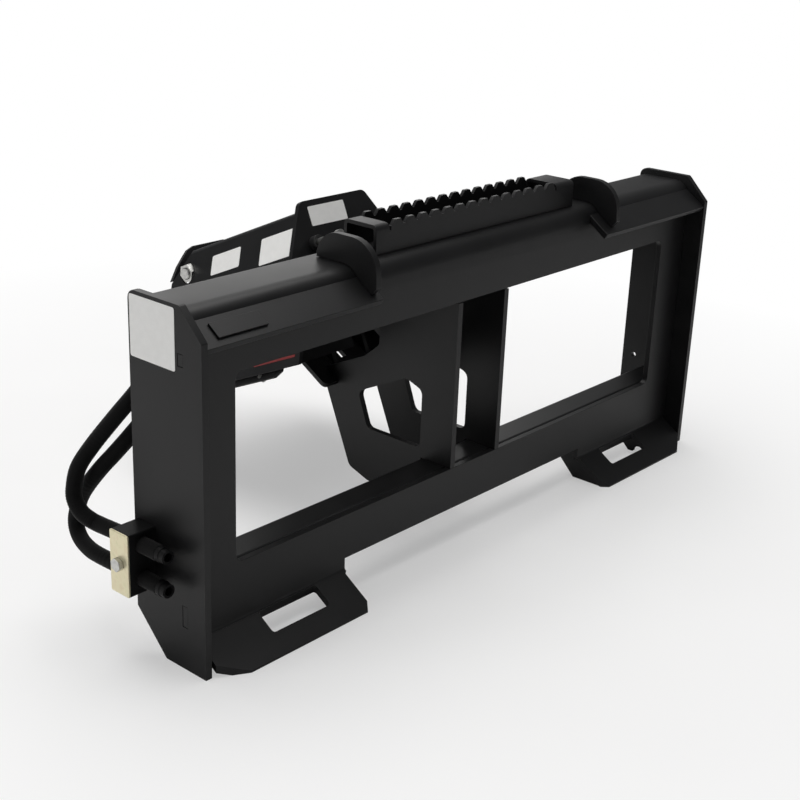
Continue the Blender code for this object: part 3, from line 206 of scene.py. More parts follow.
def yellow_zinc():
    # Yellow chromate over zinc: pale gold with faint green and rose clouds a centimetre across
    mat, tree, shader, coords = new_material("yellow_zinc_chromate_plate", "e6dfbe", 0.32, 0.75)
    cloud = add(tree, "ShaderNodeTexNoise", {"Scale": 1 / (14 * MM), "Detail": 3.0, "Distortion": 0.6},
                {"Vector": (coords, "Object")})
    tone = add(tree, "ShaderNodeValToRGB", None, {"Fac": (cloud, "Fac")})
    ramp_colours(tone, [(0.25, linear("ddd7b0")), (0.50, linear("ebe3c2")), (0.78, linear("e2d4b2"))])
    fine = add(tree, "ShaderNodeTexNoise", {"Scale": 1 / (0.8 * MM), "Detail": 2.0}, {"Vector": (coords, "Object")})
    bump = add(tree, "ShaderNodeBump", {"Strength": 0.08, "Distance": 0.05 * MM}, {"Height": (fine, "Fac")})
    tree.links.new(tone.outputs["Color"], shader.inputs["Base Color"])
    tree.links.new(bump.outputs["Normal"], shader.inputs["Normal"])
    return mat


def machined_steel():
    # Turned and ground steel under a film of oil: fine tool marks of about 1 mm
    mat, tree, shader, coords = new_material("turned_steel", "8d8d8e", 0.28, 1.0)
    marks = add(tree, "ShaderNodeTexNoise", {"Scale": 1 / (1.0 * MM), "Detail": 1.0}, {"Vector": (coords, "Object")})
    gloss = add(tree, "ShaderNodeMapRange", {"To Min": 0.20, "To Max": 0.38}, {"Value": (marks, "Fac")})
    bump = add(tree, "ShaderNodeBump", {"Strength": 0.06, "Distance": 0.05 * MM}, {"Height": (marks, "Fac")})
    tree.links.new(gloss.outputs["Result"], shader.inputs["Roughness"])
    tree.links.new(bump.outputs["Normal"], shader.inputs["Normal"])
    return mat


def moulded_nylon():
    # Glass filled nylon clamp block: dull black with a fine spark texture of 0.8 mm
    mat, tree, shader, coords = new_material("moulded_black_nylon", "0c0c0d", 0.55)
    shader.inputs["Specular IOR Level"].default_value = 0.20
    spark = add(tree, "ShaderNodeTexVoronoi", {"Scale": 1 / (0.8 * MM)}, {"Vector": (coords, "Object")})
    bump = add(tree, "ShaderNodeBump", {"Strength": 0.20, "Distance": 0.1 * MM}, {"Height": (spark, "Distance")})
    gloss = add(tree, "ShaderNodeMapRange", {"To Min": 0.48, "To Max": 0.62}, {"Value": (spark, "Distance")})
    tree.links.new(gloss.outputs["Result"], shader.inputs["Roughness"])
    tree.links.new(bump.outputs["Normal"], shader.inputs["Normal"])
    return mat


def woven_sleeve():
    # Woven nylon abrasion sleeve: dull black yarn, its floats are in the mesh, the yarn is bump
    mat, tree, shader, coords = new_material("woven_nylon_sleeve", "080808", 0.80)
    shader.inputs["Specular IOR Level"].default_value = 0.12
    yarn = add(tree, "ShaderNodeTexNoise", {"Scale": 1 / (0.9 * MM), "Detail": 4.0, "Roughness": 0.7},
               {"Vector": (coords, "Object")})
    tone = add(tree, "ShaderNodeValToRGB", None, {"Fac": (yarn, "Fac")})
    ramp_colours(tone, [(0.35, linear("050505")), (0.75, linear("0d0d0e"))])
    bump = add(tree, "ShaderNodeBump", {"Strength": 0.5, "Distance": 0.4 * MM}, {"Height": (yarn, "Fac")})
    shader.inputs["Sheen Weight"].default_value = 0.08
    shader.inputs["Sheen Roughness"].default_value = 0.5
    tree.links.new(tone.outputs["Color"], shader.inputs["Base Color"])
    tree.links.new(bump.outputs["Normal"], shader.inputs["Normal"])
    return mat


def hose_rubber():
    # Nitrile hose cover: smooth black rubber with a faint bloom
    mat, tree, shader, coords = new_material("black_nitrile_rubber", "0a0a0b", 0.50)
    shader.inputs["Specular IOR Level"].default_value = 0.20
    bloom = add(tree, "ShaderNodeTexNoise", {"Scale": 1 / (8 * MM), "Detail": 4.0}, {"Vector": (coords, "Object")})
    gloss = add(tree, "ShaderNodeMapRange", {"To Min": 0.42, "To Max": 0.60}, {"Value": (bloom, "Fac")})
    tree.links.new(gloss.outputs["Result"], shader.inputs["Roughness"])
    return mat


def label_vinyl():
    # White satin film, left plain
    mat, tree, shader, coords = new_material("white_satin_vinyl", "f4f4f2", 0.38)
    film = add(tree, "ShaderNodeTexNoise", {"Scale": 1 / (9 * MM), "Detail": 2.0}, {"Vector": (coords, "Object")})
    tone = add(tree, "ShaderNodeValToRGB", None, {"Fac": (film, "Fac")})
    ramp_colours(tone, [(0.30, linear("f2f2f0")), (0.70, linear("f6f6f4"))])
    tree.links.new(tone.outputs["Color"], shader.inputs["Base Color"])
    return mat


def stripe_vinyl():
    # Red film for the plain stripe low on the hood
    mat, tree, shader, coords = new_material("red_satin_vinyl", "7c2a2a", 0.40)
    film = add(tree, "ShaderNodeTexNoise", {"Scale": 1 / (9 * MM), "Detail": 2.0}, {"Vector": (coords, "Object")})
    tone = add(tree, "ShaderNodeValToRGB", None, {"Fac": (film, "Fac")})
    ramp_colours(tone, [(0.30, linear("742526")), (0.70, linear("852f2f"))])
    tree.links.new(tone.outputs["Color"], shader.inputs["Base Color"])
    return mat


coat = powder_coat()
casting = painted_casting()
zinc = bright_zinc()
gold = yellow_zinc()
turned_steel = machined_steel()
nylon = moulded_nylon()
sleeve = woven_sleeve()
rubber = hose_rubber()
vinyl = label_vinyl()
red_vinyl = stripe_vinyl()

# Finishes of the nodes that keep their own mesh; all the others are powder coated
finishes = [
    (zinc, {"pivot_bolt", "pivot_nut", "motor_bolt_1", "motor_bolt_2", "port_fitting_1", "port_fitting_2", "bit_pin",
            "lock_pin", "clamp_bolt"}),
    (turned_steel, {"output_shaft", "planet_carrier", "sun_gear", "sun_shaft", "planet_gear_1", "planet_gear_2",
                    "planet_gear_3", "shaft_bearing_1", "shaft_bearing_2"}),
    (casting, {"motor_body", "motor_end_cap", "gearbox_housing", "gearbox_nose", "pivot_boss_left",
               "pivot_boss_right"}),
    (rubber, {"shaft_seal", "hose_ferrule_upper", "hose_ferrule_lower"}),
    (nylon, {"clamp_block"}),
    (gold, {"clamp_cover_plate"}),
]

# Edge rounds of the same nodes, in mm
edge_round = {
    "hood_front_cap": 1.0, "bottom_rail": 0.8, "clamp_block": 1.0, "clamp_cover_plate": 0.5, "swing_cradle": 1.0,
    "motor_body": 1.5, "clamp_bolt": 0.5,
}
SHARP_EDGE = math.radians(40)


def break_edges(obj, width_mm):
    # Cut and sheared edges are broken by a small round, so that they catch the light
    weld = obj.modifiers.new("weld", "WELD")
    weld.merge_threshold = 0.00001
    bevel = obj.modifiers.new("edge", "BEVEL")
    bevel.width = width_mm * MM
    bevel.segments = 2
    bevel.limit_method = "ANGLE"
    bevel.angle_limit = SHARP_EDGE
    bevel.harden_normals = True
    bevel.use_clamp_overlap = True


for name, node in nodes.items():
    node.data.materials.clear()
    node.data.materials.append(next((mat for mat, names in finishes if name in names), coat))
    if name in edge_round:
        break_edges(node, edge_round[name])


def closed_mesh(name, bm):
    bmesh.ops.remove_doubles(bm, verts=bm.verts, dist=1e-6)
    bmesh.ops.recalc_face_normals(bm, faces=bm.faces)
    mesh = bpy.data.meshes.new(name)
    bm.to_mesh(mesh)
    bm.free()
    return mesh


# Reshaped frame and hood pieces: drawn in the same frame as the solids, with the folds, flaps, hooks and step in full
# Lengths are in metres from the drawing origin: Y runs towards the drive and Z up from the floor
END_PLATE_T = 0.010
INNER_X = FRAME_WIDTH / 2 - END_PLATE_T
END_PLATE_DEPTH = 0.135
END_PLATE_FOOT = 0.078
END_PLATE_TOP = 0.492
END_PLATE_REAR_TOP = 0.4527
FACE_T = 0.0095
FACE_REAR_Y = 0.034
BEAM_TOP_Z = 0.4826
BEAM_BOTTOM_Z = 0.389
BEND_R = 0.026
FRONT_BEND_R = 0.015
GAP = 0.0003
FIT = 0.0006
WINDOW_HALF_X = FRAME_WIDTH / 2 - 0.0835
WINDOW_BOTTOM_Z = 0.1258
WINDOW_TOP_Z = 0.390
WINDOW_R = 0.012
BOTTOM_EDGE_Z = 0.0575
FLANGE_OUT_X = INNER_X - 0.004
FLANGE_IN_X = FLANGE_OUT_X - 0.272
FLANGE_BEND_Z = 0.041
FLANGE_EDGE_Y = -0.0265
FLANGE_EDGE_Z = 0.003
SLOT_OUT_X = FLANGE_OUT_X - 0.106
SLOT_IN_X = SLOT_OUT_X - 0.108
SLOT_FRONT_Y = 0.033
SLOT_REAR_Y = 0.0018
RAIL_SIZE = 0.050
LIP_T = 0.010
LIP_TOP_Z = 0.4697
LIP_EDGE_Z = 0.444
LIP_LEFT_IN_X = 0.262
LIP_RIGHT_IN_X = 0.268
TAG_LENGTH = 0.081
TAG_WIDTH = 0.024
TAG_T = 0.003
HOOK_T = 0.010
HOOK_LEFT_X = -0.2785
HOOK_RIGHT_X = 0.290
HOOK_RISE = 0.0398
HOOK_FRONT_Y = 0.1115
HOOK_FRONT_R = 0.0385
HOOK_REAR_R = 0.045
HOOK_TIP_Y = 0.0095
HOOK_TIP_Z = 0.461
STEP_LEFT_X = -0.2158
STEP_RIGHT_X = 0.249
STEP_REAR_Y = 0.0595
STEP_FRONT_Y = 0.1205
STEP_T = 0.0055
STEP_BEND_R = 0.008
STEP_TOP_Z = 0.5247
STEP_ROOT_Z = 0.5200
STEP_TIP_Z = 0.5280
STEP_SLIT = 0.003
STEP_SLIT_Z = 0.514
TEETH_LEFT_X = -0.1859
TEETH_COUNT = 14
TEETH_PITCH = 0.0275
WEB_GAP = 0.0996
WEB_T = 0.010
EAR_OUT_X = 0.091
EAR_T = 0.008
EAR_LENGTH = 0.075
EAR_SLOPE = math.radians(30.0)
EAR_TOP_Y = 0.336
EAR_TOP_Z = 0.2435
HOOD_DEPTH = 0.2262
HOOD_T = 0.00635
HOOD_FOLD_R = 0.012
BULK_T = 0.008
FLAP_S = 0.040
FLAP_N = 0.120
BULK_TOP_HALF = 0.073
BULK_RISE = 0.0147
BULK_SLOPE = math.radians(30.6)
NOTCH_HALF = 0.0445
BAR_T = 0.005
PIVOT_N = 0.035
BOSS_R = 0.0165
AXIS_N = 0.115
HOUSING_R = 0.080
PIVOT_S = 0.284
HOOD_LENGTH = 0.330
BAR_LENGTH = HOOD_LENGTH - 0.085
LOCK_X = -0.066
LOCK_N = 0.054
LOCK_R = 0.006
CLAMP_Y = 0.1118
CLAMP_Z = 0.1430
BOLT_R = 0.0045
HOSE_R = 0.0110
RIB_X = INNER_X - GAP
JUNCTION_X = -0.100
PI = math.pi

drafts = []


def draft(name, bm):
    obj = new_object(name + "_draft", closed_mesh(name + "_draft", bm))
    drafts.append(obj)
    return obj


def arc(cx, cy, r, a0, a1, steps):
    out = []
    for i in range(steps + 1):
        a = a0 + (a1 - a0) * i / steps
        out.append((cx + r * math.cos(a), cy + r * math.sin(a)))
    return out


def rounded(points, radius, steps=4):
    # Fillet every corner whose radius is above zero
    out = []
    count = len(points)
    for i in range(count):
        r = radius[i] if isinstance(radius, (list, tuple)) else radius
        p = Vector(points[i])
        a = Vector(points[i - 1]) - p
        b = Vector(points[(i + 1) % count]) - p
        if r <= 0.0:
            out.append((p.x, p.y))
            continue
        ua = a.normalized()
        ub = b.normalized()
        half = math.acos(max(-1.0, min(1.0, ua.dot(ub)))) / 2
        if half > PI / 2 - 0.01:
            out.append((p.x, p.y))
            continue
        cut = r / math.tan(half)
        start = p + ua * cut
        end = p + ub * cut
        centre = p + (ua + ub).normalized() * (r / math.sin(half))
        a0 = math.atan2(start.y - centre.y, start.x - centre.x)
        a1 = math.atan2(end.y - centre.y, end.x - centre.x)
        while a1 - a0 > PI:
            a1 -= 2 * PI
        while a1 - a0 < -PI:
            a1 += 2 * PI
        out += arc(centre.x, centre.y, r, a0, a1, steps)
    return out


def to_axis(axis, a, b, c):
    # a, b lie in the outline plane and c along the extrusion
    if axis == "X":
        return Vector((c, a, b))
    if axis == "Y":
        return Vector((a, c, b))
    return Vector((a, b, c))


def prism_into(bm, outline, axis, c0, c1, holes=()):
    loops = [outline] + list(holes)
    edges = []
    verts = []
    for loop in loops:
        ring = [bm.verts.new(to_axis(axis, p[0], p[1], c0)) for p in loop]
        verts += ring
        for i in range(len(ring)):
            edges.append(bm.edges.new((ring[i], ring[(i + 1) % len(ring)])))
    if len(loops) == 1:
        faces = [bm.faces.new(verts)]
    else:
        done = bmesh.ops.triangle_fill(bm, use_beauty=True, use_dissolve=False, edges=edges)
        faces = [g for g in done["geom"] if isinstance(g, bmesh.types.BMFace)]
    grown = bmesh.ops.extrude_face_region(bm, geom=faces, use_keep_orig=True)
    moved = [g for g in grown["geom"] if isinstance(g, bmesh.types.BMVert)]
    shift = to_axis(axis, 0.0, 0.0, c1 - c0)
    bmesh.ops.translate(bm, verts=moved, vec=shift)


def prism(name, outline, axis, c0, c1, holes=()):
    bm = bmesh.new()
    prism_into(bm, outline, axis, c0, c1, holes)
    return draft(name, bm)


def box_outline(a0, a1, b0, b1):
    return [(a0, b0), (a1, b0), (a1, b1), (a0, b1)]


def circle(cx, cy, r, steps=32):
    return arc(cx, cy, r, 0.0, 2 * PI * (steps - 1) / steps, steps - 1)


def lathe(name, profile, axis, steps=32, a=0.0, b=0.0):
    # profile: closed list of (radius, position along the axis); a, b place the axis
    bm = bmesh.new()
    rings = []
    for r, c in profile:
        if r < 1e-9:
            rings.append([bm.verts.new(to_axis(axis, a, b, c))])
            continue
        ring = []
        for i in range(steps):
            t = 2 * PI * i / steps
            ring.append(bm.verts.new(to_axis(axis, a + r * math.cos(t), b + r * math.sin(t), c)))
        rings.append(ring)
    count = len(rings)
    for k in range(count):
        low = rings[k]
        high = rings[(k + 1) % count]
        if len(low) == 1 and len(high) == 1:
            continue
        for i in range(steps):
            j = (i + 1) % steps
            if len(low) == 1:
                bm.faces.new((low[0], high[j], high[i]))
            elif len(high) == 1:
                bm.faces.new((low[i], low[j], high[0]))
            else:
                bm.faces.new((low[i], low[j], high[j], high[i]))
    return draft(name, bm)


def boolean(target, other, kind):
    step_mod = target.modifiers.new(kind.lower(), "BOOLEAN")
    step_mod.operation = kind
    step_mod.solver = "EXACT"
    step_mod.object = other


def mirror_pair(x0, x1, side):
    # side +1 right, -1 left; returns the lower and higher X of a mirrored span
    if side > 0:
        return x0, x1
    return -x1, -x0


# End plates, with the face plate tabs standing in their slots
TAB_LOW_0 = 0.0620
TAB_LOW_1 = 0.0920
TAB_HIGH_0 = 0.4160
TAB_HIGH_1 = 0.4316
TAB_ROOM = 0.0004
TAB_ROOM_Z = 0.0006
corner_y = END_PLATE_TOP - END_PLATE_REAR_TOP
end_outline = [
    (0.0, 0.0),
    (END_PLATE_FOOT, 0.0),
    (END_PLATE_DEPTH, END_PLATE_DEPTH - END_PLATE_FOOT),
    (END_PLATE_DEPTH, END_PLATE_TOP),
    (corner_y, END_PLATE_TOP),
    (0.0, END_PLATE_REAR_TOP),
]
end_outline = rounded(end_outline, [0.0, 0.0, 0.0, 0.012, 0.006, 0.003], 4)
tab_slot_low = box_outline(FACE_REAR_Y - TAB_ROOM, FACE_REAR_Y + FACE_T + TAB_ROOM,
                           TAB_LOW_0 - TAB_ROOM_Z, TAB_LOW_1 + TAB_ROOM_Z)
tab_slot_high = box_outline(FACE_REAR_Y - TAB_ROOM, FACE_REAR_Y + FACE_T + TAB_ROOM,
                            TAB_HIGH_0 - TAB_ROOM_Z, TAB_HIGH_1 + TAB_ROOM_Z)
bolt_hole = circle(CLAMP_Y, CLAMP_Z, BOLT_R + FIT, 20)
end_holes = [tab_slot_low, tab_slot_high, bolt_hole]
end_left = prism("end_plate_left", end_outline, "X", -FRAME_WIDTH / 2, -INNER_X, end_holes)
end_right = prism("end_plate_right", end_outline, "X", INNER_X, FRAME_WIDTH / 2, end_holes)

# Formed face plate: face, beam top and beam front in one sheet, two flanges bent rearward at the bottom
front_y = END_PLATE_DEPTH
face_front = FACE_REAR_Y + FACE_T
flange_run = FACE_REAR_Y - FLANGE_EDGE_Y
flange_tan = (FLANGE_BEND_Z - FLANGE_EDGE_Z) / flange_run
flange_drop = FACE_T * math.sqrt(1.0 + flange_tan * flange_tan)
lower_bend_z = FLANGE_BEND_Z - flange_drop + FACE_T * flange_tan
lower_zero_y = FACE_REAR_Y - (FLANGE_BEND_Z - flange_drop) / flange_tan
face_profile = rounded([
    (FACE_REAR_Y, BEAM_TOP_Z),
    (FACE_REAR_Y, FLANGE_BEND_Z),
    (FLANGE_EDGE_Y, FLANGE_EDGE_Z),
    (FLANGE_EDGE_Y, 0.0),
    (lower_zero_y, 0.0),
    (face_front, lower_bend_z),
    (face_front, BEAM_TOP_Z - FACE_T),
    (front_y - FACE_T, BEAM_TOP_Z - FACE_T),
    (front_y - FACE_T, BEAM_BOTTOM_Z),
    (front_y, BEAM_BOTTOM_Z),
    (front_y, BEAM_TOP_Z),
], [BEND_R, 0.004, 0.0, 0.0, 0.0, 0.013, BEND_R - FACE_T, FRONT_BEND_R - FACE_T, 0.0, 0.0, FRONT_BEND_R], 5)
tab_end = FRAME_WIDTH / 2 - GAP
face = prism("formed_face_plate", face_profile, "X", -tab_end, tab_end)

cut_bm = bmesh.new()
window = rounded(box_outline(-WINDOW_HALF_X, WINDOW_HALF_X, WINDOW_BOTTOM_Z, WINDOW_TOP_Z), WINDOW_R, 4)
prism_into(cut_bm, window, "Y", 0.020, 0.060)
relief = 0.0045
middle = [
    (-FLANGE_IN_X, -0.02), (FLANGE_IN_X, -0.02), (FLANGE_IN_X, FLANGE_BEND_Z - 0.004),
    (FLANGE_IN_X - relief, FLANGE_BEND_Z - 0.002), (FLANGE_IN_X - relief, BOTTOM_EDGE_Z),
    (-FLANGE_IN_X + relief, BOTTOM_EDGE_Z), (-FLANGE_IN_X + relief, FLANGE_BEND_Z - 0.002),
    (-FLANGE_IN_X, FLANGE_BEND_Z - 0.004),
]
prism_into(cut_bm, middle, "Y", -0.060, 0.060)
tab_keep_low = box_outline(FACE_REAR_Y - 0.003, face_front + 0.003, TAB_LOW_0, TAB_LOW_1)
tab_keep_high = box_outline(FACE_REAR_Y - 0.003, face_front + 0.003, TAB_HIGH_0, TAB_HIGH_1)
side_cut = box_outline(-0.080, 0.180, -0.030, 0.540)
for side in (-1, 1):
    x0, x1 = mirror_pair(RIB_X, 0.620, side)
    prism_into(cut_bm, side_cut, "X", x0, x1, [tab_keep_low, tab_keep_high])
face_cut = draft("face_window_cut", cut_bm)
boolean(face, face_cut, "DIFFERENCE")

trim_bm = bmesh.new()
for side in (-1, 1):
    x0, x1 = mirror_pair(SLOT_IN_X, SLOT_OUT_X, side)
    slot = rounded(box_outline(x0, x1, SLOT_REAR_Y, SLOT_FRONT_Y - 0.001), 0.004, 3)
    prism_into(trim_bm, slot, "Z", -0.020, 0.060)
    outer = [(side * (FLANGE_OUT_X + 0.02), -0.060), (side * (FLANGE_OUT_X + 0.02), 0.050),
             (side * FLANGE_OUT_X, 0.050), (side * FLANGE_OUT_X, -0.003),
             (side * (FLANGE_OUT_X - 0.042), -0.0275), (side * (FLANGE_OUT_X - 0.042), -0.060)]
    prism_into(trim_bm, outer, "Z", -0.020, FLANGE_BEND_Z + 0.004)
    nip = [(side * (FLANGE_IN_X - 0.015), -0.050), (side * (FLANGE_IN_X + 0.0114), -0.0275),
           (side * (FLANGE_IN_X - 0.009), -0.005), (side * (FLANGE_IN_X - 0.015), -0.005)]
    prism_into(trim_bm, nip, "Z", -0.020, 0.030)
flange_trim = draft("flange_trim_cut", trim_bm)
boolean(face, flange_trim, "DIFFERENCE")

bend_cy = FACE_REAR_Y + BEND_R
bend_cz = BEAM_TOP_Z - BEND_R
seat_r = BEND_R + GAP
lip_rise = math.asin((LIP_TOP_Z - bend_cz) / seat_r)
lip_y1 = bend_cy - seat_r * math.cos(lip_rise)
lip_len = math.hypot(lip_y1, LIP_TOP_Z - LIP_EDGE_Z)
lip_dy = -lip_y1 / lip_len
lip_dz = -(LIP_TOP_Z - LIP_EDGE_Z) / lip_len
lip_slope = (LIP_TOP_Z - LIP_EDGE_Z) / lip_y1
lip_low = (-LIP_T * lip_dz, LIP_EDGE_Z + LIP_T * lip_dy)
lip_back = FACE_REAR_Y - GAP
lip_profile = arc(bend_cy, bend_cz, seat_r, PI - lip_rise, PI, 4)
lip_profile += [(lip_back, lip_low[1] + (lip_back - lip_low[0]) * lip_slope), lip_low, (0.0, LIP_EDGE_Z)]
lip_left = prism("lip_plate_left", lip_profile, "X", -RIB_X, -LIP_LEFT_IN_X)
lip_right = prism("lip_plate_right", lip_profile, "X", LIP_RIGHT_IN_X, RIB_X)

# Plain tag plate on the left lip
tag_mid = 0.5
tag_cy = lip_y1 * tag_mid
tag_cz = LIP_EDGE_Z + (LIP_TOP_Z - LIP_EDGE_Z) * tag_mid
up_y = lip_dz
up_z = -lip_dy
tag_half = TAG_WIDTH / 2


def lip_point(along, above):
    return (tag_cy - lip_dy * along + up_y * above, tag_cz - lip_dz * along + up_z * above)


tag_profile = [lip_point(-tag_half, GAP), lip_point(tag_half, GAP),
               lip_point(tag_half, GAP + TAG_T), lip_point(-tag_half, GAP + TAG_T)]
tag_x0 = -FRAME_WIDTH / 2 + 0.034
lip_tag = prism("lip_tag", tag_profile, "X", tag_x0, tag_x0 + TAG_LENGTH)

# Hook plates stand on the beam top and rest on the lips
hook_inner = arc(bend_cy, bend_cz, BEND_R + 0.0009, PI / 2, PI - lip_rise, 6)
hook_tip = [(HOOK_TIP_Y, LIP_EDGE_Z + HOOK_TIP_Y * lip_slope + 0.0008)]
hook_top = BEAM_TOP_Z + HOOK_RISE
hook_outer = [(0.0, HOOK_TIP_Z), (0.004, hook_top), (HOOK_FRONT_Y, hook_top), (HOOK_FRONT_Y, BEAM_TOP_Z + 0.0009)]
hook_radii = [0.0] * (len(hook_inner) + 1) + [0.002, HOOK_REAR_R, HOOK_FRONT_R, 0.0]
hook_shape = rounded(hook_inner + hook_tip + hook_outer, hook_radii, 8)
hook_left = prism("hook_plate_left", hook_shape, "X", HOOK_LEFT_X, HOOK_LEFT_X + HOOK_T)
hook_right = prism("hook_plate_right", hook_shape, "X", HOOK_RIGHT_X, HOOK_RIGHT_X + HOOK_T)

# Serrated step: folded channel, its web cut away between the ends, toothed edges on both walls
step_z0 = BEAM_TOP_Z + GAP
channel = [
    (STEP_REAR_Y, step_z0), (STEP_REAR_Y, STEP_TOP_Z), (STEP_FRONT_Y, STEP_TOP_Z), (STEP_FRONT_Y, step_z0),
    (STEP_FRONT_Y - STEP_T, step_z0), (STEP_FRONT_Y - STEP_T, STEP_TOP_Z - STEP_T),
    (STEP_REAR_Y + STEP_T, STEP_TOP_Z - STEP_T), (STEP_REAR_Y + STEP_T, step_z0),
]
step_inner_r = STEP_BEND_R - STEP_T
channel = rounded(channel, [0.0, STEP_BEND_R, STEP_BEND_R, 0.0, 0.0, step_inner_r, step_inner_r, 0.0], 4)
step = prism("serrated_step", channel, "X", STEP_LEFT_X, STEP_RIGHT_X)
teeth_right = TEETH_LEFT_X + TEETH_PITCH * TEETH_COUNT
PAST = 0.010
web_span = box_outline(TEETH_LEFT_X - STEP_SLIT, teeth_right + STEP_SLIT, STEP_SLIT_Z, STEP_TIP_Z + 0.032)
web_cut = prism("step_web_cut", web_span, "Y", STEP_REAR_Y - PAST, STEP_FRONT_Y + PAST)
boolean(step, web_cut, "DIFFERENCE")
strip_low = STEP_SLIT_Z - 0.004
tip_shoulder = STEP_TIP_Z - 0.0015
# One tooth from right to left, as shares of its pitch
tooth = ((0.94, STEP_ROOT_Z), (0.76, tip_shoulder), (0.70, STEP_TIP_Z), (0.30, STEP_TIP_Z), (0.24, tip_shoulder),
         (0.06, STEP_ROOT_Z))
strip = [(TEETH_LEFT_X, strip_low), (teeth_right, strip_low)]
for i in reversed(range(TEETH_COUNT)):
    strip += [(TEETH_LEFT_X + TEETH_PITCH * (i + share), z) for share, z in tooth]
strip.insert(2, (teeth_right, STEP_ROOT_Z))
strip.append((TEETH_LEFT_X, STEP_ROOT_Z))
strip_rear = prism("step_teeth_rear", strip, "Y", STEP_REAR_Y, STEP_REAR_Y + STEP_T)
strip_front = prism("step_teeth_front", strip, "Y", STEP_FRONT_Y - STEP_T, STEP_FRONT_Y)
boolean(step, strip_rear, "UNION")
boolean(step, strip_front, "UNION")

# Web plates between the frame and the hood
rail_y1 = face_front + GAP + RAIL_SIZE
rail_z1 = WINDOW_BOTTOM_Z
web_y0 = FACE_REAR_Y
web_front_y = rail_y1 + 0.0004
web_top = BEAM_BOTTOM_Z - 0.0005
rear_s = -GAP
arm_low = hood_yz(rear_s, 0.150)
arm_high = hood_yz(rear_s, 0.076)
web_shape = [
    (web_y0, rail_z1 + 0.0004), (web_front_y, rail_z1 + 0.0004), (web_front_y, 0.050), (0.204, 0.0525),
    (0.2444, 0.0661), (0.2987, 0.1912), (0.299, 0.223), (0.2183, 0.2608), (0.187, 0.287),
    (0.187, 0.322), arm_low, arm_high, (front_y + 0.0006, 0.402), (front_y + 0.0006, web_top), (web_y0, web_top),
]
web_shape = rounded(web_shape, [0.0, 0.0, 0.004, 0.020, 0.015, 0.012, 0.004, 0.016, 0.010,
                                0.012, 0.0, 0.0, 0.0, 0.0, 0.0], 4)
web_hole = rounded([(0.0965, 0.142), (0.207, 0.142), (0.229, 0.1992), (0.1299, 0.2479), (0.0965, 0.2364)],
                   [0.010, 0.012, 0.012, 0.014, 0.012], 4)
web_in = WEB_GAP / 2
webs = []
for which, side in (("left", -1), ("right", 1)):
    x0, x1 = mirror_pair(web_in, web_in + WEB_T, side)
    webs.append(prism("web_plate_%s" % which, web_shape, "X", x0, x1, [web_hole]))

# Sloping ears on the outside of the web plates, drawn in their own plane
ear_u = (-math.cos(EAR_SLOPE), -math.sin(EAR_SLOPE))
ear_place = Matrix.Translation((0.0, EAR_TOP_Y, EAR_TOP_Z)) @ Matrix(
    ((1.0, 0.0, 0.0), (0.0, ear_u[0], -ear_u[1]), (0.0, ear_u[1], ear_u[0]))).to_4x4()
ear_in = web_in + GAP
ears = []
for which, side in (("left", -1), ("right", 1)):
    ear_shape = box_outline(side * ear_in, side * EAR_OUT_X, 0.0, EAR_LENGTH)
    ear = prism("web_ear_%s" % which, rounded(ear_shape, [0.0, 0.002, 0.008, 0.0], 4), "Z", 0.0, EAR_T)
    ear.matrix_world = ear_place
    # Past the web's front edge the ear reaches in over its thickness; elsewhere it stands beside the web
    x0, x1 = mirror_pair(web_in - GAP, web_in + WEB_T + GAP, side)
    boolean(ear, prism("web_ear_cut", web_shape, "X", x0, x1), "DIFFERENCE")
    ears.append(ear)


# Pieces on the hood axis: local Y runs down the hood, local Z is its outward normal
def seat(obj, s=0.0, n=0.0, x=0.0):
    y, z = hood_yz(s, n)
    obj.location = (x, y, z)
    obj.rotation_euler = (-SLOPE, 0.0, 0.0)
    return obj


side_tan = math.tan(SIDE_SLOPE)
bottom_half = HOOD_TOP_HALF + HOOD_DEPTH * side_tan
wall_x = HOOD_T / co
top_shift = HOOD_T * (1.0 / co - side_tan)
inner_top = HOOD_TOP_HALF - top_shift
hood_profile = [
    (-bottom_half, -HOOD_DEPTH), (-HOOD_TOP_HALF, 0.0), (HOOD_TOP_HALF, 0.0), (bottom_half, -HOOD_DEPTH),
    (bottom_half - wall_x, -HOOD_DEPTH), (inner_top, -HOOD_T), (-inner_top, -HOOD_T),
    (-bottom_half + wall_x, -HOOD_DEPTH),
]
inner_fold = HOOD_FOLD_R - HOOD_T
hood_profile = rounded(hood_profile, [0.0, HOOD_FOLD_R, HOOD_FOLD_R, 0.0, 0.0, inner_fold, inner_fold, 0.0], 5)
hood = seat(prism("hood_shell", hood_profile, "Y", -FLAP_S, HOOD_LENGTH - GAP))
# Only the lower part of each side runs on past the bulkhead as a flap
rear_cut = prism("hood_rear_cut", box_outline(-0.300, 0.300, -FLAP_N, 0.030), "Y", -FLAP_S - PAST, BULK_T + GAP)
boolean(hood, seat(rear_cut), "DIFFERENCE")

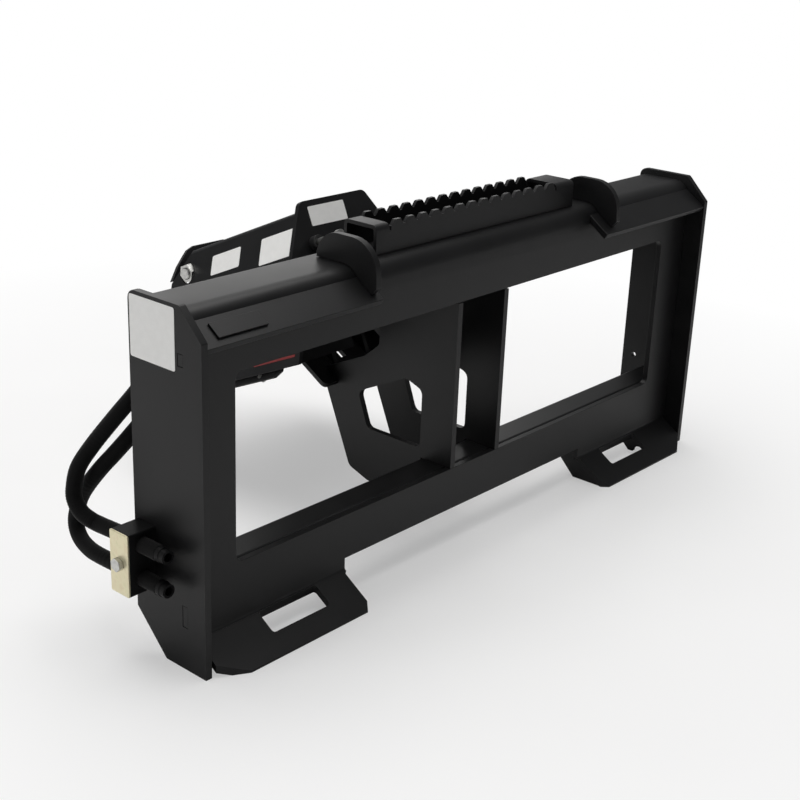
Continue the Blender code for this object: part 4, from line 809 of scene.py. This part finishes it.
# Nose corners of the hood are cut by one plane on each side, and the pivot holes go through the sides
NOSE_REACH = 0.120
NOSE_RISE = 0.060
for side in (-1, 1):
    p1 = Vector((side * HOOD_TOP_HALF, HOOD_LENGTH - 0.0525, 0.0))
    p2 = Vector((side * 0.035, HOOD_LENGTH, 0.0))
    p3 = Vector((side * 0.1038, HOOD_LENGTH - 0.0016, -0.0429))
    u = (p2 - p1).normalized()
    w = u.cross(p3 - p1).normalized()
    if w.z < 0:
        w = -w
    v = w.cross(u)
    centre = (p1 + p2) / 2
    nose_bm = bmesh.new()
    corners = []
    for k in (0.0, NOSE_RISE):
        for a, b in ((-1, -1), (1, -1), (1, 1), (-1, 1)):
            corners.append(nose_bm.verts.new(centre + u * (a * NOSE_REACH) + v * (b * NOSE_REACH) + w * k))
    for idx in ((0, 1, 2, 3), (4, 5, 6, 7), (0, 1, 5, 4), (1, 2, 6, 5), (2, 3, 7, 6), (3, 0, 4, 7)):
        nose_bm.faces.new([corners[i] for i in idx])
    boolean(hood, seat(draft("nose_cut", nose_bm)), "DIFFERENCE")
pivot_cut = prism("pivot_side_cut", circle(0.0, 0.0, BOSS_R + 0.0005, 24), "X", -0.160, 0.160)
boolean(hood, seat(pivot_cut, PIVOT_S, PIVOT_N), "DIFFERENCE")

# Bulkhead with the shaft notch, label land and two hose holes
bulk_bottom = HOOD_DEPTH
ledge = FLAP_N - GAP - 0.0005


def inner_half(n):
    return HOOD_TOP_HALF + n * side_tan - wall_x - GAP / co


def land_half(n):
    return BULK_TOP_HALF + (n + BULK_RISE) * math.tan(BULK_SLOPE)


bulk_shape = rounded([
    (-inner_half(bulk_bottom), -bulk_bottom), (-inner_half(ledge), -ledge), (-land_half(ledge), -ledge),
    (-BULK_TOP_HALF, BULK_RISE), (BULK_TOP_HALF, BULK_RISE), (land_half(ledge), -ledge),
    (inner_half(ledge), -ledge), (inner_half(bulk_bottom), -bulk_bottom),
], [0.004, 0.0, 0.004, 0.014, 0.014, 0.004, 0.0, 0.004], 5)
notch = [(NOTCH_HALF, -bulk_bottom)]
notch += arc(0.0, -AXIS_N, NOTCH_HALF, 0.0, PI, 14)
notch.append((-NOTCH_HALF, -bulk_bottom))
HOSE_HOLE_R = HOSE_R + 0.0008
JUNCTION_N_1 = 0.105
JUNCTION_N_2 = 0.140
hose_holes = [circle(JUNCTION_X, -n, HOSE_HOLE_R, 20) for n in (JUNCTION_N_1, JUNCTION_N_2)]
bulk_holes = hose_holes + [circle(LOCK_X, -LOCK_N, LOCK_R + FIT, 20)]
bulk = seat(prism("hood_bulkhead", bulk_shape + notch, "Y", 0.0, BULK_T, bulk_holes))

# Edge bars along the inside of the hood sides, each with a bolt
side_len = HOOD_DEPTH / co
bar_t1 = side_len + 0.0066
bar_t0 = bar_t1 - 0.042
bar_in = HOOD_T + GAP
bar_s0 = BULK_T + GAP + 0.0005
BAR_BOLT_S = 0.0605
BAR_BOLT_T = side_len - 0.002
BAR_BOLT_R = 0.0046
BAR_HEAD_R = 0.0085
BAR_HEAD_T = 0.0041
BAR_HOLE_R = BAR_BOLT_R + FIT
bars = []
bar_bolts = []


def side_point(t, depth):
    # t runs down the hood side from the fold, depth goes inward from its outer face
    return (HOOD_TOP_HALF + t * si - depth * co, -t * co - depth * si)


for which, side in (("left", -1), ("right", 1)):
    outline = rounded([(bar_s0, -bar_t0), (BAR_LENGTH, -bar_t0), (BAR_LENGTH, -bar_t1), (bar_s0 + 0.016, -bar_t1),
                       (bar_s0, -bar_t1 + 0.008)], [0.0, 0.0, 0.0, 0.005, 0.003], 3)
    x0, x1 = mirror_pair(-bar_in - BAR_T, -bar_in, side)
    bar = prism("hood_edge_bar_%s" % which, outline, "X", x0, x1, [circle(BAR_BOLT_S, -BAR_BOLT_T, BAR_HOLE_R, 20)])
    turn = Matrix.Rotation(-SLOPE, 4, "X") @ Matrix.Rotation(-side * SIDE_SLOPE, 4, "Y")
    y, z = hood_yz(0.0, 0.0)
    bar.matrix_world = Matrix.Translation((side * HOOD_TOP_HALF, y, z)) @ turn
    bars.append(bar)
    base = side_point(BAR_BOLT_T, bar_in + BAR_T)
    y, z = hood_yz(BAR_BOLT_S, -base[1])
    under_head = -0.0004
    bolt = lathe("edge_bar_bolt_%s" % which,
                 [(0.0, under_head - BAR_HEAD_T), (BAR_HEAD_R, under_head - BAR_HEAD_T), (BAR_HEAD_R, under_head),
                  (BAR_BOLT_R, under_head), (BAR_BOLT_R, BAR_T), (0.0, BAR_T)], "X", 20)
    if side < 0:
        turn = turn @ Matrix.Rotation(PI, 4, "Z")
    bolt.matrix_world = Matrix.Translation((side * base[0], y, z)) @ turn
    bar_bolts.append(bolt)

# Guard under the shaft, carried by the gearbox, in one plane with the ears of the web plates
GUARD_ROOM = 0.0012
guard_half = web_in - GUARD_ROOM
guard_slot = box_outline(-0.018, -0.006, 0.002, 0.034)
guard = prism("shaft_guard", box_outline(-guard_half, guard_half, 0.0, EAR_LENGTH), "Z", 0.0, EAR_T, [guard_slot])
guard.data.transform(Matrix.Rotation(SLOPE, 4, "X") @ Matrix.Translation((0.0, -HOOD_Y, -HOOD_Z)) @ ear_place)
guard_s = (EAR_TOP_Y - HOOD_Y) * cs - (EAR_TOP_Z - HOOD_Z) * sn
guard_n = -(EAR_TOP_Y - HOOD_Y) * sn - (EAR_TOP_Z - HOOD_Z) * cs
guard_fall = math.tan(SLOPE + EAR_SLOPE)
# Two ribs join the guard to the gearbox; they start and end this far up the hood from the guard's edge
RIB_FAR = 0.026
RIB_NEAR = 0.002
RIB_SINK = 0.004
RIB_TOP_N = 0.180
RIB_IN_X = 0.034
RIB_OUT_X = 0.042
rib_s0 = guard_s - RIB_FAR
rib_s1 = guard_s - RIB_NEAR
rib_n0 = guard_n + RIB_FAR * guard_fall + RIB_SINK
rib_n1 = guard_n + RIB_NEAR * guard_fall + RIB_SINK
rib_bm = bmesh.new()
for side in (-1, 1):
    x0, x1 = mirror_pair(RIB_IN_X, RIB_OUT_X, side)
    rib = [(rib_s0, -RIB_TOP_N), (rib_s1, -RIB_TOP_N), (rib_s1, -rib_n1), (rib_s0, -rib_n0)]
    prism_into(rib_bm, rib, "X", x0, x1)
guard_ribs = draft("guard_ribs", rib_bm)
guard_seat = prism("guard_seat_cut", circle(0.0, -AXIS_N, HOUSING_R + GAP, 56), "Y", 0.050, 0.100)
for part_of_guard in (guard, guard_ribs, guard_seat):
    seat(part_of_guard)
boolean(guard, guard_ribs, "UNION")
boolean(guard, guard_seat, "DIFFERENCE")

# Guide of the transport lock pin
GUIDE_T = 0.012
GUIDE_R = 0.012
GUIDE_BORE_R = LOCK_R + 0.0005
guide_profile = [(GUIDE_BORE_R, -GAP - GUIDE_T), (GUIDE_R, -GAP - GUIDE_T), (GUIDE_R, -GAP), (GUIDE_BORE_R, -GAP)]
lock_guide = seat(lathe("lock_pin_guide", guide_profile, "Y", 24, LOCK_X, -LOCK_N))

# Junction block inside the hood: the hoses end in it beside the swing path
JUNCTION_EDGE = 0.018
junction_outline = box_outline(JUNCTION_X - JUNCTION_EDGE, JUNCTION_X + JUNCTION_EDGE,
                               -JUNCTION_N_2 - JUNCTION_EDGE, -JUNCTION_N_1 + JUNCTION_EDGE)
junction = seat(prism("hose_junction_block", rounded(junction_outline, 0.003, 2), "Y",
                      BULK_T + GAP, BULK_T + 0.030, hose_holes))


def dress(source, name, mat, round_mm=1.0, body="frame", node_name=None):
    # The finished draft becomes one mesh in place, its cut edges broken like those of the solids
    bpy.context.view_layer.update()
    shaped = source.evaluated_get(bpy.context.evaluated_depsgraph_get())
    mesh = bpy.data.meshes.new_from_object(shaped)
    mesh.transform(Matrix.Translation(origin) @ source.matrix_world)
    mesh.name = name
    for poly in mesh.polygons:
        poly.use_smooth = True
    mesh.set_sharp_from_angle(angle=math.radians(32))
    mesh.materials.clear()
    mesh.materials.append(mat)
    piece = new_object(name, mesh)
    if round_mm:
        break_edges(piece, round_mm)
    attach(piece, body)
    if node_name:
        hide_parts(node_name)


for source, node_name, round_mm in (
        (end_left, "end_plate_left", 0.5), (end_right, "end_plate_right", 0.5), (face, "formed_face_plate", 1.2),
        (lip_left, "lip_plate_left", 1.2), (lip_right, "lip_plate_right", 1.2), (lip_tag, "lip_tag", 0.7),
        (hook_left, "hook_plate_left", 1.2), (hook_right, "hook_plate_right", 1.2), (step, "serrated_step", 0.9),
        (webs[0], "web_plate_left", 1.0), (webs[1], "web_plate_right", 1.0), (ears[0], "web_ear_left", 1.0),
        (ears[1], "web_ear_right", 1.0), (hood, "hood_shell", 1.0), (bulk, "hood_bulkhead", 1.2),
        (bars[0], "hood_edge_bar_left", 0.7), (bars[1], "hood_edge_bar_right", 0.7)):
    dress(source, node_name + "_form", coat, round_mm, "frame", node_name)
for source, node_name in zip(bar_bolts, ("edge_bar_bolt_left", "edge_bar_bolt_right")):
    dress(source, node_name + "_form", zinc, 0.0, "frame", node_name)
dress(lock_guide, "lock_pin_guide_form", casting, 0.6, "frame", "lock_pin_guide")
dress(junction, "hose_junction_block_form", casting, 1.0, "frame", "hose_junction_block")
dress(guard, "shaft_guard", coat, 1.0, "drive")
for obj in drafts:
    bpy.data.objects.remove(obj, do_unlink=True)


# Labels: plain film, four corners given clockwise, corners rounded, 0.3 mm proud
def label(name, corners, outward, mat, round_mm=3.0, thick_mm=0.3):
    bm = bmesh.new()
    base = [bm.verts.new(c + outward * (0.05 * MM)) for c in corners]
    bm.faces.new(base)
    bmesh.ops.bevel(bm, geom=base, offset=round_mm * MM, offset_type="OFFSET", affect="VERTICES",
                    segments=4, profile=0.5, material=-1)
    grown = bmesh.ops.extrude_face_region(bm, geom=bm.faces[:], use_keep_orig=True)
    top = [g for g in grown["geom"] if isinstance(g, bmesh.types.BMVert)]
    bmesh.ops.translate(bm, verts=top, vec=outward * (thick_mm * MM))
    mesh = closed_mesh(name, bm)
    mesh.materials.append(mat)
    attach(new_object(name, mesh), "frame")


side_out = (on_left_side(0.1, 0.1, 1.0) - on_left_side(0.1, 0.1, 0.0)).normalized()


def side_label(name, s0, s1, t0, t1, mat, round_mm=3.0):
    corners = [on_left_side(s0, t0), on_left_side(s1, t0), on_left_side(s1, t1), on_left_side(s0, t1)]
    label(name, corners, side_out, mat, round_mm)


side_label("label_hood_front", 0.141, 0.2165, 0.025, 0.060, vinyl)
side_label("label_hood_rear", 0.006, 0.087, 0.026, 0.072, vinyl)
side_label("stripe_hood", -0.0294, 0.0687, 0.240, 0.244, red_vinyl, 1.0)

end_out = Vector((-1.0, 0.0, 0.0))
end_corners = [place(-FRAME_WIDTH / 2, y, z) for y, z in ((0.132, 0.487), (0.048, 0.487), (0.048, 0.407),
                                                          (0.132, 0.407))]
label("label_end_plate", end_corners, end_out, vinyl)

back_out = (on_hood(0.0, -1.0, 0.0) - on_hood(0.0, 0.0, 0.0)).normalized()
label_top = -BULK_RISE + 0.010
label_low = -BULK_RISE + 0.0415
back_corners = [on_hood(x, 0.0, n) for x, n in ((-0.060, label_top), (0.0207, label_top), (0.0207, label_low),
                                                (-0.060, label_low))]
label("label_bulkhead", back_corners, back_out, vinyl, 2.0)

# Woven sleeves over the two hoses, their routes drawn up to 12 mm off the hose solids' to follow the photograph
HOSE_X = -0.6012
HOSE_UPPER_Z = 0.1680
HOSE_LOWER_Z = 0.1205
FLOAT_LENGTH = 6.0 * MM
FLOAT_LIFT = 0.35 * MM
FLOATS_AROUND = 4
SLEEVE_BEVEL = 10
SLEEVE_RING = 24


def smooth_route(points, per):
    out = []
    ends = [points[0] * 2 - points[1]] + points + [points[-1] * 2 - points[-2]]
    for i in range(1, len(ends) - 2):
        p0, p1, p2, p3 = ends[i - 1:i + 3]
        for k in range(per):
            t = k / per
            lead = p1 * 2 + (p2 - p0) * t + (p0 * 2 - p1 * 5 + p2 * 4 - p3) * t * t
            out.append((lead + (p1 * 3 - p0 - p2 * 3 + p3) * t * t * t) * 0.5)
    out.append(points[-1])
    return out


def sleeve_on(name, node_name, points):
    route = smooth_route(points, 24)
    data = bpy.data.curves.new(name + "_route", "CURVE")
    data.dimensions = "3D"
    spline = data.splines.new("POLY")
    spline.points.add(len(route) - 1)
    for point, p in zip(spline.points, route):
        point.co = (p.x, p.y, p.z, 1.0)
    data.bevel_depth = HOSE_R - 0.0002
    data.bevel_resolution = SLEEVE_BEVEL
    data.use_fill_caps = True
    carrier = new_object(name + "_route", data)
    bpy.context.view_layer.update()
    mesh = bpy.data.meshes.new_from_object(carrier.evaluated_get(bpy.context.evaluated_depsgraph_get()))
    bpy.data.objects.remove(carrier)
    mesh.name = name
    # Two families of floats cross at an angle and stand proud of the tube
    run = [0.0]
    for a, b in zip(route, route[1:]):
        run.append(run[-1] + (b - a).length)
    for index, vert in enumerate(mesh.vertices):
        k = min(index // SLEEVE_RING, len(route) - 1)
        around = (index % SLEEVE_RING) / SLEEVE_RING * 2 * PI * FLOATS_AROUND
        along = run[k] / FLOAT_LENGTH * 2 * PI
        lift = math.sin(around + along) * math.sin(around - along)
        away = vert.co - route[k]
        if away.length > 1e-6:
            vert.co = vert.co + away.normalized() * (lift * FLOAT_LIFT)
    mesh.materials.clear()
    mesh.materials.append(sleeve)
    for poly in mesh.polygons:
        poly.use_smooth = True
    piece = new_object(name, mesh)
    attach(piece, "frame")
    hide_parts(node_name)


def block_end(n):
    # Both hoses turn into the junction block from its side towards the frame
    return [on_hood(JUNCTION_X - 0.006, -0.060, n), on_hood(JUNCTION_X, -0.025, n), on_hood(JUNCTION_X, 0.024, n)]


upper_route = [place(HOSE_X, y, HOSE_UPPER_Z) for y in (0.0600, 0.0950, 0.1350)] + [
    place(HOSE_X - 0.003, 0.1769, 0.1681), place(HOSE_X - 0.008, 0.1895, 0.1723),
    place(HOSE_X - 0.012, 0.2038, 0.1798), place(HOSE_X - 0.013, 0.2149, 0.1936),
    place(HOSE_X - 0.011, 0.2185, 0.2097), place(HOSE_X - 0.003, 0.2185, 0.2357),
    place(HOSE_X + 0.013, 0.2097, 0.2633), place(-0.5695, 0.1880, 0.3013), place(-0.5540, 0.1720, 0.3290),
    place(-0.5291, 0.1610, 0.3580), place(-0.4800, 0.1590, 0.3830), place(-0.4100, 0.1590, 0.3960),
    place(-0.3200, 0.1600, 0.3980), place(-0.2300, 0.1640, 0.3970), place(-0.1600, 0.1850, 0.3960),
] + block_end(JUNCTION_N_1)
lower_route = [place(HOSE_X, y, HOSE_LOWER_Z) for y in (0.0600, 0.0950, 0.1350)] + [
    place(HOSE_X + 0.001, 0.1854, 0.1185), place(HOSE_X + 0.004, 0.2131, 0.1183),
    place(HOSE_X + 0.009, 0.2381, 0.1232), place(HOSE_X + 0.013, 0.2518, 0.1371),
    place(HOSE_X + 0.015, 0.2509, 0.1576), place(HOSE_X + 0.017, 0.2383, 0.1874),
    place(HOSE_X + 0.0202, 0.2080, 0.2262), place(HOSE_X + 0.0358, 0.1880, 0.2564),
    place(-0.5508, 0.1750, 0.2796), place(-0.5260, 0.1660, 0.3072), place(-0.4950, 0.1620, 0.3350),
    place(-0.4500, 0.1600, 0.3560), place(-0.4000, 0.1600, 0.3630), place(-0.3200, 0.1620, 0.3640),
    place(-0.2300, 0.1660, 0.3640), place(-0.1600, 0.1860, 0.3630),
] + block_end(JUNCTION_N_2)
sleeve_on("hose_sleeve_upper", "hose_upper", upper_route)
sleeve_on("hose_sleeve_lower", "hose_lower", lower_route)


# Studio: pale floor that stays white to the camera, soft lamps above
def studio_floor():
    mat, tree, shader, coords = new_material("pale_studio_floor", "f2f2f2", 0.85)
    shader.inputs["Specular IOR Level"].default_value = 0.15
    speck = add(tree, "ShaderNodeTexNoise", {"Scale": 1 / (400 * MM), "Detail": 2.0}, {"Vector": (coords, "Object")})
    tone = add(tree, "ShaderNodeValToRGB", None, {"Fac": (speck, "Fac")})
    ramp_colours(tone, [(0.30, linear("f0f0f0")), (0.70, linear("f4f4f4"))])
    tree.links.new(tone.outputs["Color"], shader.inputs["Base Color"])
    # To the camera the floor fades to plain white away from the frame; it gives off no light of its own
    path = add(tree, "ShaderNodeLightPath")
    distance = add(tree, "ShaderNodeVectorMath", {"operation": "LENGTH"}, {0: (coords, "Object")})
    fade = add(tree, "ShaderNodeMapRange", {"From Min": 0.5, "From Max": 1.5, "To Min": 0.36, "To Max": 1.0},
               {"Value": (distance, "Value")})
    share = add(tree, "ShaderNodeMath", {"operation": "MULTIPLY"},
                {0: (path, "Is Camera Ray"), 1: (fade, "Result")})
    white_sheet = add(tree, "ShaderNodeEmission", {"Color": (1.0, 1.0, 1.0, 1.0), "Strength": 1.0})
    blend = add(tree, "ShaderNodeMixShader", None, {0: (share, 0), 1: (shader, 0), 2: (white_sheet, 0)})
    tree.links.new(blend.outputs[0], tree.nodes["Material Output"].inputs["Surface"])
    return mat


floor_bm = bmesh.new()
bmesh.ops.create_grid(floor_bm, x_segments=1, y_segments=1, size=14.0)
floor_mesh = bpy.data.meshes.new("studio_floor")
floor_bm.to_mesh(floor_mesh)
floor_bm.free()
floor_mesh.materials.append(studio_floor())
floor = new_object("studio_floor", floor_mesh)

world = bpy.data.worlds.new("studio")
bpy.context.scene.world = world
world.use_nodes = True
world_tree = world.node_tree
world_tree.nodes.clear()
seen = add(world_tree, "ShaderNodeLightPath")
soft = add(world_tree, "ShaderNodeBackground", {"Color": linear("f4f5f6"), "Strength": 0.20})
white = add(world_tree, "ShaderNodeBackground", {"Color": (1.0, 1.0, 1.0, 1.0), "Strength": 1.0})
mix = add(world_tree, "ShaderNodeMixShader", None, {0: (seen, "Is Camera Ray"), 1: (soft, 0), 2: (white, 0)})
add(world_tree, "ShaderNodeOutputWorld", None, {"Surface": (mix, 0)})


def lamp(name, at, aim, size, power):
    data = bpy.data.lights.new(name, "AREA")
    data.shape = "RECTANGLE"
    data.size = size[0]
    data.size_y = size[1]
    data.energy = power
    data.color = (1.0, 0.99, 0.98)
    obj = new_object(name, data)
    obj.location = at
    obj.rotation_euler = (Vector(aim) - Vector(at)).to_track_quat("-Z", "Y").to_euler()


lamp("lamp_above", (0.2, 0.3, 3.2), (0.0, 0.0, 0.2), (3.0, 3.0), 96.0)
lamp("lamp_behind", (2.3, 2.7, 1.7), (0.0, 0.0, 0.3), (2.2, 1.6), 18.0)
lamp("lamp_left", (-2.8, 0.6, 1.2), (0.0, 0.0, 0.2), (1.6, 1.2), 13.0)
